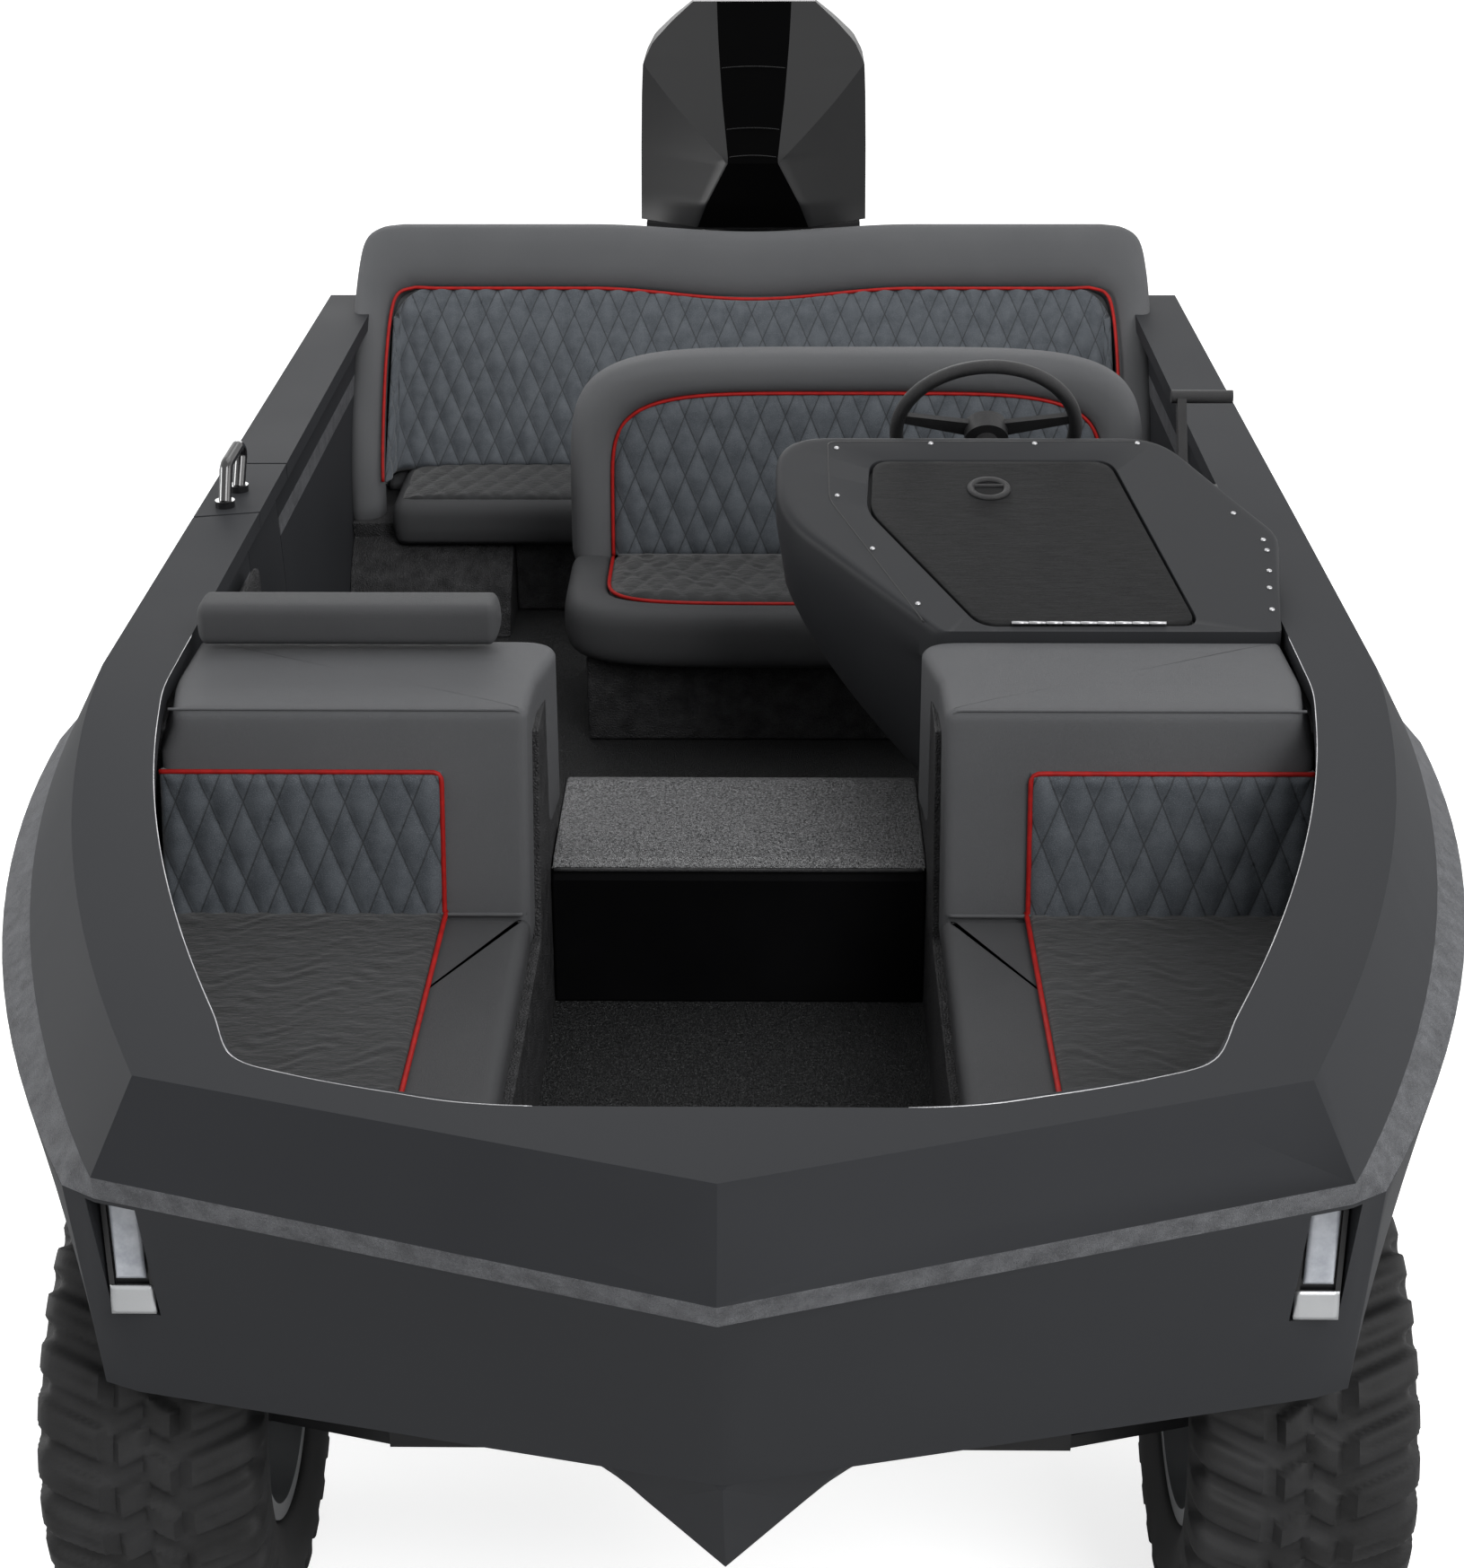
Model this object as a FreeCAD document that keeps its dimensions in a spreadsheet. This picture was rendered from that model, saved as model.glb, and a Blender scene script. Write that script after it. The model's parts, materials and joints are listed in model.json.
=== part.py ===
import FreeCAD, Part
import math
import os
import re

import Sketcher
from FreeCAD import Placement, Rotation, Vector

# Four-wheeled open amphibious vehicle with an outboard motor.
# Millimetres. Front faces -Y, +X is the vehicle's left, +Z is up.
# The origin is on the ground, at the middle of the vehicle's length and width.

doc = FreeCAD.newDocument("amphibious_vehicle")

SIZES = (
    # hull
    ("halfBeam", 950, "half width over the straight gunwale"),
    ("deckHeight", 1000, "gunwale top above the ground"),
    ("prowAhead", 2194, "deck's front point, ahead of the origin"),
    ("transomAft", 1466, "outer face of the transom"),
    ("gunwaleWidth", 110, "gunwale top, side to cockpit opening"),
    ("foredeckLength", 150, "deck's front point to the opening"),
    ("aftDeckLength", 66, "width of the deck strip at the transom"),
    ("deckLip", 30, "thickness of the deck's edge round the opening"),
    ("lipReach", 25, "how far the deck's edge stands in from the wall"),
    ("knuckleDrop", 105, "deck to the chamfer's lower edge"),
    ("bandDrop", 140, "deck to the rub band's lower edge"),
    ("footHeight", 520, "side's lower edge above the ground"),
    ("floorHeight", 430, "cockpit floor above the ground"),
    ("floorThickness", 12, "cockpit floor"),
    ("keelHeight", 250, "keel above the ground amidships"),
    ("bottomHalfWidth", 430, "half width of the bottom between the wheels"),
    ("rearBottomHalfWidth", 520, "half width of the bottom between the rear wheels"),
    # wheels
    ("wheelRadius", 300, "over the tread"),
    ("tyreWidth", 280, "over the side lugs"),
    ("rimRadius", 165, "bead seat"),
    ("wheelTrack", 708, "vehicle's middle to the wheel's middle"),
    ("frontAxleAft", 606, "deck's front point to the front axle"),
    ("rearAxleAft", 1100, "rear axle behind the origin"),
    ("kingpinInset", 40, "wheel's middle to the steering axis"),
    ("spindleRadius", 16, "wheel spindles"),
    ("archGap", 65, "tread to the front arch"),
    ("wellGap", 18, "tread to the wheel box's ceiling"),
    ("rearArchGap", 40, "tread to the rear arch"),
    ("boxWall", 15, "moulded wall over a wheel"),
    # seats
    ("aisleHalfWidth", 290, "half width of the bow aisle"),
    ("bowSeatHeight", 700, "bow cushions' top"),
    ("cushionThickness", 65, "bow cushions"),
    ("bowBackAft", 1174, "deck's front point to the bow backs, at the cushions"),
    ("lockerAft", 1554, "deck's front point to the rear faces of the bow lockers"),
    ("backLean", 70, "how far a bow back leans"),
    ("backPad", 60, "thickness of the bow backs"),
    ("padGap", 0.3, "soft parts to their neighbours"),
    ("stepAft", 1409, "deck's front point to the step"),
    ("stepDepth", 381, "step, front to rear"),
    ("stepHeight", 670, "step's top"),
    ("benchLeft", 770, "driver's bench, left end"),
    ("benchRight", -330, "driver's bench, right end"),
    ("benchFront", 170, "driver's cushion, front"),
    ("benchSeatHeight", 715, "driver's cushion, top"),
    ("benchPad", 110, "driver's cushion, thickness"),
    ("benchBackTop", 1115, "top of the driver's back"),
    ("benchRear", 660, "rear face of the driver's back"),
    ("rearSeatFront", 915, "rear cushion, front"),
    ("rearSeatHeight", 690, "rear cushion, top"),
    ("rearBackRise", 190, "top of the rear back at its ends, above the deck"),
    ("rearBackDip", 35, "dip in the middle of the rear back"),
    ("rearBackFront", 1300, "front of the rear back at the cushion"),
    ("bolsterDepth", 330, "rear back's bolsters, front to rear"),
    # console
    ("consoleRear", 110, "console top's rear edge, ahead of the origin"),
    ("consoleRise", 150, "console top's rear edge, above the deck"),
    ("consoleRight", 60, "console's right edge, left of the origin"),
    ("consoleRearLeft", 700, "left end of the console top's rear edge"),
    ("consoleFoot", 360, "deck to the console pod's lower end"),
    ("consoleGap", 2, "console to the cockpit's wall and the bow locker"),
    ("hatchThickness", 14, "console hatch"),
    ("hatchGap", 5, "gap round the console hatch"),
    ("hatchHinge", 3.5, "radius of the hatch's hinge barrel"),
    ("binDepth", 170, "storage bin under the hatch"),
    ("steeringRadius", 155, "steering wheel's rim, to the tube's middle"),
    ("steeringTube", 12, "steering wheel's rim, tube radius"),
    ("steeringSide", 420, "steering wheel's middle, left of the origin"),
    ("steeringAft", 10, "steering wheel's middle, behind the origin"),
    ("steeringRise", 125, "steering wheel's middle, above the deck"),
    ("steeringRake", 30, "steering wheel's lean from upright, degrees"),
    ("columnLength", 172, "steering column, from the wheel's middle"),
    ("columnRadius", 19, "steering column"),
    # boarding door
    ("doorFront", 97, "door's front edge, ahead of the origin"),
    ("doorRear", 207, "door's rear edge, behind the origin"),
    ("doorSill", 600, "height of the door's sill"),
    ("doorGap", 6, "gap round the door"),
    ("doorBevel", 34, "how much shorter the door is inside"),
    ("handleTube", 11, "grab handle, tube radius"),
    # outboard motor
    ("setback", 264, "transom to the tilt axis"),
    ("tiltRise", 53, "tilt axis above the deck"),
    ("steerReach", 85, "tilt axis to the motor's steering axis"),
    ("bracketHalfWidth", 150, "half width of the motor bracket's plate"),
    ("tiltTube", 15, "tilt tube, radius"),
    ("steerTube", 22, "motor's steering tube, radius"),
    ("shaftRadius", 14, "propeller shaft"),
    ("cowlHalfWidth", 262, "half width of the cowl"),
    ("cowlAhead", 70, "front of the cowl, ahead of the tilt axis"),
    ("cowlLength", 599, "cowl, front to rear"),
    ("cowlGap", 50, "tilt axis to the cowl's lower edge"),
    ("cowlHeight", 457, "cowl, lower edge to top"),
    ("propHeight", 325, "propeller shaft above the ground"),
    ("propRadius", 170, "propeller, to the blades' tips"),
    ("propReach", 335, "motor's steering axis to the propeller's middle"),
)

sheet = doc.addObject("Spreadsheet::Sheet", "Sizes")
for row, (alias, number, note) in enumerate(SIZES, start=1):
    sheet.set(f"A{row}", note)
    sheet.set(f"B{row}", str(number))
    sheet.setAlias(f"B{row}", alias)
doc.recompute()

ALIASES = re.compile(r"\b(" + "|".join(alias for alias, _, _ in SIZES) + r")\b")


class Dimensions:
    """The sheet's cells as plain numbers, for shapes that are computed here."""

    def __getattr__(self, alias):
        return float(getattr(sheet, alias))


d = Dimensions()


def bind(item, prop, expression):
    """Tie one property of an object to an expression in the sheet's names."""
    item.setExpression(prop, ALIASES.sub(r"Sizes.\1", str(expression)))


def place(item, x=None, y=None, z=None):
    for axis, expression in (("x", x), ("y", y), ("z", z)):
        if expression is not None:
            bind(item, f"Placement.Base.{axis}", expression)
    return item


def box(name, x, y, z):
    """A block from pairs of expressions, low and high, along each axis."""
    block = doc.addObject("Part::Box", name)
    for prop, axis, (low, high) in (("Length", "x", x), ("Width", "y", y), ("Height", "z", z)):
        bind(block, prop, f"({high}) - ({low})")
        bind(block, f"Placement.Base.{axis}", low)
    return block


AXIS_TURN = {
    "X": Rotation(Vector(0, 1, 0), 90),
    "Y": Rotation(Vector(1, 0, 0), -90),
    "Z": Rotation(),
}


def cylinder(name, axis, x, y, z, radius, length):
    rod = doc.addObject("Part::Cylinder", name)
    rod.Placement = Placement(Vector(), AXIS_TURN[axis])
    bind(rod, "Radius", radius)
    bind(rod, "Height", length)
    return place(rod, x, y, z)


def join(name, *pieces):
    fused = doc.addObject("Part::MultiFuse", name)
    fused.Shapes = list(pieces)
    return fused


def common(name, *pieces):
    shared = doc.addObject("Part::MultiCommon", name)
    shared.Shapes = list(pieces)
    return shared


def cut(name, base, *tools):
    result = doc.addObject("Part::Cut", name)
    result.Base = base
    result.Tool = tools[0] if len(tools) == 1 else join(name + "_tools", *tools)
    return result


def mirrored(name, item):
    """The same piece on the vehicle's other side."""
    other = doc.addObject("Part::Mirroring", name)
    other.Source = item
    other.Base = Vector()
    other.Normal = Vector(1, 0, 0)
    return other


def computed(name, shape, placement=None):
    """A shape that is worked out from the sheet's numbers."""
    item = doc.addObject("Part::Feature", name)
    item.Shape = shape
    if placement is not None:
        item.Placement = placement
    return item


PLANE_AXES = {"XY_Plane": 1, "XZ_Plane": -1, "YZ_Plane": 1}


def outline_sketch(body, plane, corners, start):
    """A closed sketch of straight edges, each corner bound to the sheet."""
    support = [f for f in body.Origin.OriginFeatures if f.Role == plane][0]
    sketch = body.newObject("Sketcher::SketchObject", body.Name + "_outline")
    sketch.AttachmentSupport = [(support, "")]
    sketch.MapMode = "FlatFace"
    count = len(corners)
    # any closed, uncrossed polygon will do as a first guess
    guess = [Vector(100 * math.cos(2 * math.pi * i / count),
                    100 * math.sin(2 * math.pi * i / count), 0) for i in range(count)]
    for i in range(count):
        sketch.addGeometry(Part.LineSegment(guess[i], guess[(i + 1) % count]))
    for i in range(count):
        sketch.addConstraint(Sketcher.Constraint("Coincident", i, 2, (i + 1) % count, 1))
    for i, corner in enumerate(corners):
        for kind, expression, along in zip(("DistanceX", "DistanceY"), corner, guess[i]):
            index = sketch.addConstraint(Sketcher.Constraint(kind, -1, 1, i, 1, along))
            bind(sketch, f"Constraints[{index}]", expression)
    sketch.AttachmentOffset = Placement()
    bind(sketch, "AttachmentOffset.Base.z", f"{PLANE_AXES[plane]} * ({start})")
    return sketch


def prism(name, plane, corners, start, end):
    """Pad a polygon from start to end along the plane's axis.

    On XZ_Plane the pad runs towards -Y, so start is its larger Y."""
    body = doc.addObject("PartDesign::Body", name)
    sketch = outline_sketch(body, plane, corners, start)
    pad = body.newObject("PartDesign::Pad", name + "_pad")
    pad.Profile = sketch
    bind(pad, "Length", f"{PLANE_AXES[plane]} * (({end}) - ({start}))")
    body.Tip = pad
    return body


def revolved(name, corners):
    """Turn an outline of (along X, radius) round the X axis."""
    body = doc.addObject("PartDesign::Body", name)
    sketch = outline_sketch(body, "XY_Plane", corners, 0)
    turn = body.newObject("PartDesign::Revolution", name + "_turn")
    turn.Profile = sketch
    turn.ReferenceAxis = (sketch, ["H_Axis"])
    turn.Angle = 360
    body.Tip = turn
    return body


# Hull: level outlines of the topsides.
# Columns: level name, drop below the deck, prow's reach ahead of the deck's front point,
# then inset from halfBeam and distance aft of the deck's front point for the front corner,
# the corner's rear edge, the shoulder's middle and its end, and the inset at the transom.
LEVELS = (
    ("deck", 0, 0, (310, 210), (295, 244), (128, 706), (1, 1414), 0),
    ("knuckle", d.knuckleDrop, 65, (263, 170), (246, 204), (32, 818), (-57, 1454), 0),
    ("band", d.bandDrop, 49, (261, 182), (219, 209), (-10, 824), (-88, 1454), 0),
    ("foot", d.deckHeight - d.footHeight, -124, (255, 290), (212, 309), (88, 824), (45, 1454), 50),
)
TAPER_END = -100


def closed_wire(half):
    """Close an outline of points and arcs with its mirror image.

    An item is a point (x, y), or a pair of points for an arc through the first."""
    edges = []

    def add(sign, order):
        here = None
        for item in order:
            middle, end = item if isinstance(item[0], tuple) else (None, item)
            there = Vector(sign * end[0], end[1], 0)
            if here is not None:
                if middle is None:
                    edges.append(Part.LineSegment(here, there).toShape())
                else:
                    through = Vector(sign * middle[0], middle[1], 0)
                    edges.append(Part.Arc(here, through, there).toShape())
            here = there
        return here

    def ends(items):
        return [i[1] if isinstance(i[0], tuple) else i for i in items]

    last = add(1, half)
    back = []
    points = ends(half)
    for index in range(len(half) - 1, -1, -1):
        follows = half[index + 1] if index + 1 < len(half) else None
        if follows is not None and isinstance(follows[0], tuple):
            back.append((follows[0], points[index]))
        else:
            back.append(points[index])
    other = Vector(-last.x, last.y, 0)
    if other.distanceToPoint(last) > 1:
        edges.append(Part.LineSegment(last, other).toShape())
    first = add(-1, back)
    start = Vector(points[0][0], points[0][1], 0)
    if first.distanceToPoint(start) > 1:
        edges.append(Part.LineSegment(first, start).toShape())
    return Part.Wire(edges)


def level_wire(level):
    name, drop, reach, corner, edge, middle, end, aft_inset = level

    def at(pair):
        return (d.halfBeam - pair[0], pair[1] - d.prowAhead)

    side = d.halfBeam - aft_inset
    half = [(0, -d.prowAhead - reach), at(corner), at(edge), (at(middle), at(end)),
            (side, TAPER_END), (side, d.transomAft)]
    wire = closed_wire(half)
    wire.translate(Vector(0, 0, d.deckHeight - drop))
    return wire


def between(lower, upper):
    return Part.makeLoft([lower, upper], True, True)


wires = {level[0]: level_wire(level) for level in LEVELS}
deck_block = computed("deck_block", between(wires["knuckle"], wires["deck"]))
band_block = computed("band_block", between(wires["band"], wires["knuckle"]))
side_block = computed("side_block", between(wires["foot"], wires["band"]))

# Cockpit: the opening's half outline, then the room below the deck's lip.
# Columns: inset from the opening's half width, distance aft of its front edge.
OPENING = ((600, 0), (365, 66), (312, 96), (288, 136), (95, 684), (0, 1184))
# The same points at the floor, moved aft and in to follow the bow panel.
FLOOR_SHIFT = ((80, 260), (60, 262), (40, 258), (35, 240), (20, 140), (20, 60))


def opening_wire(grow, shifts, height):
    half_width = d.halfBeam - d.gunwaleWidth + grow
    front = d.foredeckLength - d.prowAhead - grow
    aft = d.transomAft - d.aftDeckLength
    p = [(half_width - inset - dx, front + back + dy)
         for (inset, back), (dx, dy) in zip(OPENING, shifts)]
    half = [p[0], p[1], (p[2], p[3]), (p[4], p[5]), (half_width - shifts[5][0], aft)]
    wire = closed_wire(half)
    wire.translate(Vector(0, 0, height))
    return wire


STRAIGHT = ((0, 0),) * len(OPENING)
lip_height = d.deckHeight - d.deckLip
opening = computed("opening", between(opening_wire(0, STRAIGHT, lip_height - 10),
                                      opening_wire(0, STRAIGHT, d.deckHeight + 10)))
floor_under = d.floorHeight - d.floorThickness
room = computed("room", between(opening_wire(d.lipReach, FLOOR_SHIFT, floor_under),
                                opening_wire(d.lipReach, STRAIGHT, lip_height)))

# Wheel clearances, left side; the right side's are their mirror images.
FRONT_Y = "(frontAxleAft - prowAhead)"
front_y = d.frontAxleAft - d.prowAhead
front_arch = cylinder("front_arch", "X", "halfBeam - gunwaleWidth + lipReach", FRONT_Y,
                      "wheelRadius", "wheelRadius + archGap", "500")
front_bay = common(
    "front_bay",
    cylinder("front_bay_round", "X", "bottomHalfWidth", FRONT_Y, "wheelRadius",
             "wheelRadius + archGap", "800"),
    box("front_bay_flat", ("bottomHalfWidth", "halfBeam + 200"),
        (f"{FRONT_Y} - 500", f"{FRONT_Y} + 500"),
        ("-50", "2 * wheelRadius + wellGap")))
front_low = box("front_low", ("bottomHalfWidth", "halfBeam + 200"),
                (f"{FRONT_Y} - wheelRadius - archGap - 25",
                 f"{FRONT_Y} + wheelRadius + archGap + 25"),
                ("-50", "floorHeight"))
rear_bay = cylinder("rear_bay", "X", "rearBottomHalfWidth", "rearAxleAft", "wheelRadius",
                    "wheelRadius + wellGap", "800")
rear_arch = cylinder("rear_arch", "X", "halfBeam - gunwaleWidth + lipReach", "rearAxleAft",
                     "wheelRadius", "wheelRadius + rearArchGap", "500")
rear_low = box("rear_low", ("rearBottomHalfWidth", "halfBeam + 200"),
               ("rearAxleAft - wheelRadius - rearArchGap", "rearAxleAft + wheelRadius + rearArchGap"),
               ("-50", "wheelRadius"))
wells_left = join("wells_left", front_arch, front_bay, front_low, rear_bay, rear_arch, rear_low)
wells = join("wells", wells_left, mirrored("wells_right", wells_left))

# The boarding door is on the right side. Its front edge is bevelled so that it swings clear.
DOOR_OUT = "-halfBeam - 150"
DOOR_IN = "-halfBeam + gunwaleWidth + 40"
door_shape = prism(
    "door_shape", "XY_Plane",
    ((DOOR_OUT, "-doorFront - doorBevel"), (DOOR_IN, "-doorFront + doorBevel * 1.2"),
     (DOOR_IN, "doorRear"), (DOOR_OUT, "doorRear")), "doorSill", "deckHeight + 20")
doorway = prism(
    "doorway", "XY_Plane",
    ((DOOR_OUT, "-doorFront - doorBevel - doorGap"),
     (DOOR_IN, "-doorFront + doorBevel * 1.2 - doorGap"),
     (DOOR_IN, "doorRear + doorGap"), (DOOR_OUT, "doorRear + doorGap")),
    "doorSill - doorGap", "deckHeight + 20")

hollow = join("hollow", opening, room)
deck_ring = cut("deck_ring", deck_block, hollow, doorway)
rub_band = cut("rub_band", band_block, room, doorway)

# Head lamps stand in a slim pocket at each end of the bow panel.
LAMP_IN, LAMP_OUT = "halfBeam - 308", "halfBeam - 248"
LAMP_LOW, LAMP_HIGH = "deckHeight - 326", "deckHeight - 146"
LAMP_REAR = "-prowAhead + 272"
lamp_pocket = box("lamp_pocket", (LAMP_IN, LAMP_OUT), ("-prowAhead", LAMP_REAR),
                  (LAMP_LOW, LAMP_HIGH))
lamp_pockets = join("lamp_pockets", lamp_pocket, mirrored("lamp_pocket_right", lamp_pocket))
lower_sides = cut("lower_sides", side_block, room, wells, doorway, lamp_pockets)

BIG = 3000
BOW_SPLIT = "-prowAhead + 318"
TRANSOM_SPLIT = "transomAft - aftDeckLength - 1"
EVERY_Z = ("-100", "2500")
bow_zone = box("bow_zone", (-BIG, BIG), (-BIG, BOW_SPLIT), EVERY_Z)
left_zone = box("left_zone", (0, BIG), (BOW_SPLIT, TRANSOM_SPLIT), EVERY_Z)
right_zone = box("right_zone", (-BIG, 0), (BOW_SPLIT, TRANSOM_SPLIT), EVERY_Z)
aft_zone = box("aft_zone", (-BIG, BIG), (TRANSOM_SPLIT, BIG), EVERY_Z)
bow_panel = common("bow_panel", lower_sides, bow_zone)
side_left = common("side_left", lower_sides, left_zone)
side_right = common("side_right", lower_sides, right_zone)
transom = common("transom", lower_sides, aft_zone)

# Bottom: V sections, keel upwards.
# Columns: y, keel height above keelHeight, then (x, z above keelHeight) of the strake and
# the chine, and x of the upper edge.
NOSE = (
    (front_y - 480, 262, (3, 264), (5, 267), 6),
    (front_y - 359, 50, (95, 150), (190, 264), 192),
    (front_y - 150, 14, (190, 80), (425, 150), 430),
    (front_y + 372, 0, (215, 50), (430, 95), 430),
)
MAIN = (
    (front_y + 370, 0, (430, 95), (872, 145), 895),
    (d.rearAxleAft - 488, 0, (430, 95), (872, 145), 898),
    (d.transomAft - 1, 20, (430, 110), (872, 150), 898),
)


def bottom_section(row):
    y, rise, strake, chine, top = row
    half = [(0, rise), strake, chine, (top, d.footHeight - d.keelHeight)]
    points = [Vector(x, 0, z) for x, z in half] + [Vector(-x, 0, z) for x, z in half[:0:-1]]
    wire = Part.makePolygon(points + [points[0]])
    wire.translate(Vector(0, y, d.keelHeight))
    return wire


def bottom_loft(rows):
    return Part.makeLoft([bottom_section(row) for row in rows], True, True)


bottom_block = computed("bottom_block", bottom_loft(NOSE).fuse(bottom_loft(MAIN)))
bottom_zone = box("bottom_zone", (-BIG, BIG), (-BIG, "transomAft"), EVERY_Z)
hull_bottom = cut("hull_bottom", common("bottom_trim", bottom_block, bottom_zone), room, wells)

floor_zone = box("floor_zone", (-BIG, BIG), (-BIG, BIG), (floor_under, "floorHeight"))
cockpit_floor = cut("cockpit_floor", common("floor_blank", room, floor_zone), wells)

# Bow seats: one moulding a side, wheel box in front and locker behind.
SEAT_TOP = "bowSeatHeight - cushionThickness"
LOCKER_TOP = "deckHeight - backPad"
BACK_Y = "(bowBackAft - prowAhead)"
LOCKER_Y = "(lockerAft - prowAhead)"
STEP_Y = "(stepAft - prowAhead)"
bow_profile = (
    ("-prowAhead + foredeckLength + 60", "floorHeight"),
    (LOCKER_Y, "floorHeight"),
    (LOCKER_Y, LOCKER_TOP),
    (f"{BACK_Y} + backLean + backPad", LOCKER_TOP),
    (f"{BACK_Y} + backPad", f"{SEAT_TOP} - padGap"),
    ("-prowAhead + foredeckLength + 60", f"{SEAT_TOP} - padGap"),
)
bow_block = prism("bow_block", "YZ_Plane", bow_profile, "aisleHalfWidth", "halfBeam")
bow_front_room = computed("bow_front_room", room.Shape.copy())
bow_seat_left = cut("bow_seat_left", common("bow_seat_blank", bow_block, bow_front_room), wells)
bow_seat_right = mirrored("bow_seat_right", bow_seat_left)

cushion_profile = (
    ("-prowAhead + foredeckLength + 80", SEAT_TOP),
    (f"{BACK_Y} - padGap", SEAT_TOP),
    (f"{BACK_Y} - padGap", "bowSeatHeight - 20"),
    (f"{BACK_Y} - 20", "bowSeatHeight"),
    ("-prowAhead + foredeckLength + 80", "bowSeatHeight"),
)
SOFT_SIDE = 8
SOFT_IN = f"aisleHalfWidth + {SOFT_SIDE}"
cushion_block = prism("cushion_block", "YZ_Plane", cushion_profile, SOFT_IN, "halfBeam")
soft_room = computed("soft_room", between(
    opening_wire(d.lipReach - SOFT_SIDE, FLOOR_SHIFT, floor_under),
    opening_wire(d.lipReach - SOFT_SIDE, STRAIGHT, lip_height)))
back_room = computed("back_room", between(
    opening_wire(-SOFT_SIDE, STRAIGHT, d.floorHeight),
    opening_wire(-SOFT_SIDE, STRAIGHT, d.deckHeight + 10)))
bow_cushion_left = common("bow_cushion_left", cushion_block, soft_room)
bow_cushion_right = mirrored("bow_cushion_right", bow_cushion_left)

back_profile = (
    (BACK_Y, SEAT_TOP),
    (f"{BACK_Y} + backPad - padGap", SEAT_TOP),
    (f"{BACK_Y} + backLean + backPad - padGap", f"{LOCKER_TOP} + padGap"),
    (LOCKER_Y, f"{LOCKER_TOP} + padGap"),
    (LOCKER_Y, "deckHeight - 12"),
    (f"{LOCKER_Y} - 14", "deckHeight"),
    (f"{BACK_Y} + backLean + 18", "deckHeight"),
    (f"{BACK_Y} + backLean", "deckHeight - 18"),
)
bow_back_left = common("bow_back_left", back_room,
                       prism("bow_back_block", "YZ_Plane", back_profile, SOFT_IN, "halfBeam"))
bow_back_right = mirrored("bow_back_right", bow_back_left)
cap_profile = (
    (f"{LOCKER_Y} - 120", "deckHeight + padGap"),
    (f"{LOCKER_Y} - 10", "deckHeight + padGap"),
    (LOCKER_Y, "deckHeight + 20"),
    (f"{LOCKER_Y} - 6", "deckHeight + 68"),
    (f"{LOCKER_Y} - 24", "deckHeight + 80"),
    (f"{LOCKER_Y} - 84", "deckHeight + 80"),
    (f"{LOCKER_Y} - 104", "deckHeight + 66"),
)
cap_roll = prism("cap_roll", "YZ_Plane", cap_profile, "-halfBeam + gunwaleWidth + 14",
                 "-aisleHalfWidth - 70")

# Step between the bow seats.
step_profile = (
    (STEP_Y, "floorHeight"), (f"{STEP_Y} + stepDepth", "floorHeight"),
    (f"{STEP_Y} + stepDepth", "stepHeight - 45"), (f"{STEP_Y} + stepDepth - 20", "stepHeight - 12"),
    (f"{STEP_Y} + stepDepth - 60", "stepHeight"), (f"{STEP_Y} + 30", "stepHeight"),
    (f"{STEP_Y} + 6", "stepHeight - 8"), (STEP_Y, "stepHeight - 26"),
)
step_box = prism("step_box", "YZ_Plane", step_profile, "-aisleHalfWidth + padGap",
                 "aisleHalfWidth - padGap")

# Driver's bench.
bench_base = box("driver_base", ("benchRight + 25", "benchLeft - 25"),
                 ("benchFront + 85", "benchRear - 15"),
                 ("floorHeight", "benchSeatHeight - benchPad"))
bench_cushion_profile = (
    ("benchFront + 20", "benchSeatHeight - benchPad + padGap"),
    ("benchRear - 105 - padGap", "benchSeatHeight - benchPad + padGap"),
    ("benchRear - 105 - padGap", "benchSeatHeight - 12"),
    ("benchRear - 130", "benchSeatHeight"), ("benchFront + 30", "benchSeatHeight"),
    ("benchFront", "benchSeatHeight - 30"), ("benchFront", "benchSeatHeight - benchPad + 25"),
)
driver_cushion = prism("driver_cushion", "YZ_Plane", bench_cushion_profile,
                       "benchRight", "benchLeft")
bench_back_profile = (
    ("benchRear - 105", "benchSeatHeight - benchPad + padGap"),
    ("benchRear", "benchSeatHeight - benchPad + padGap"),
    ("benchRear", "benchBackTop - 40"), ("benchRear - 25", "benchBackTop"),
    ("benchRear - 80", "benchBackTop"), ("benchRear - 100", "benchBackTop - 25"),
)
bench_back_front = (
    ("benchRight", "benchSeatHeight - benchPad"), ("benchLeft", "benchSeatHeight - benchPad"),
    ("benchLeft", "benchBackTop - 90"), ("benchLeft - 35", "benchBackTop - 40"),
    ("benchLeft - 110", "benchBackTop - 12"), ("benchLeft - 300", "benchBackTop"),
    ("benchRight + 220", "benchBackTop"), ("benchRight + 90", "benchBackTop - 12"),
    ("benchRight + 30", "benchBackTop - 40"), ("benchRight", "benchBackTop - 90"),
)
driver_back = common(
    "driver_back",
    prism("driver_back_side", "YZ_Plane", bench_back_profile, "benchRight", "benchLeft"),
    prism("driver_back_front", "XZ_Plane", bench_back_front, "benchRear", "benchFront"))

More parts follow.
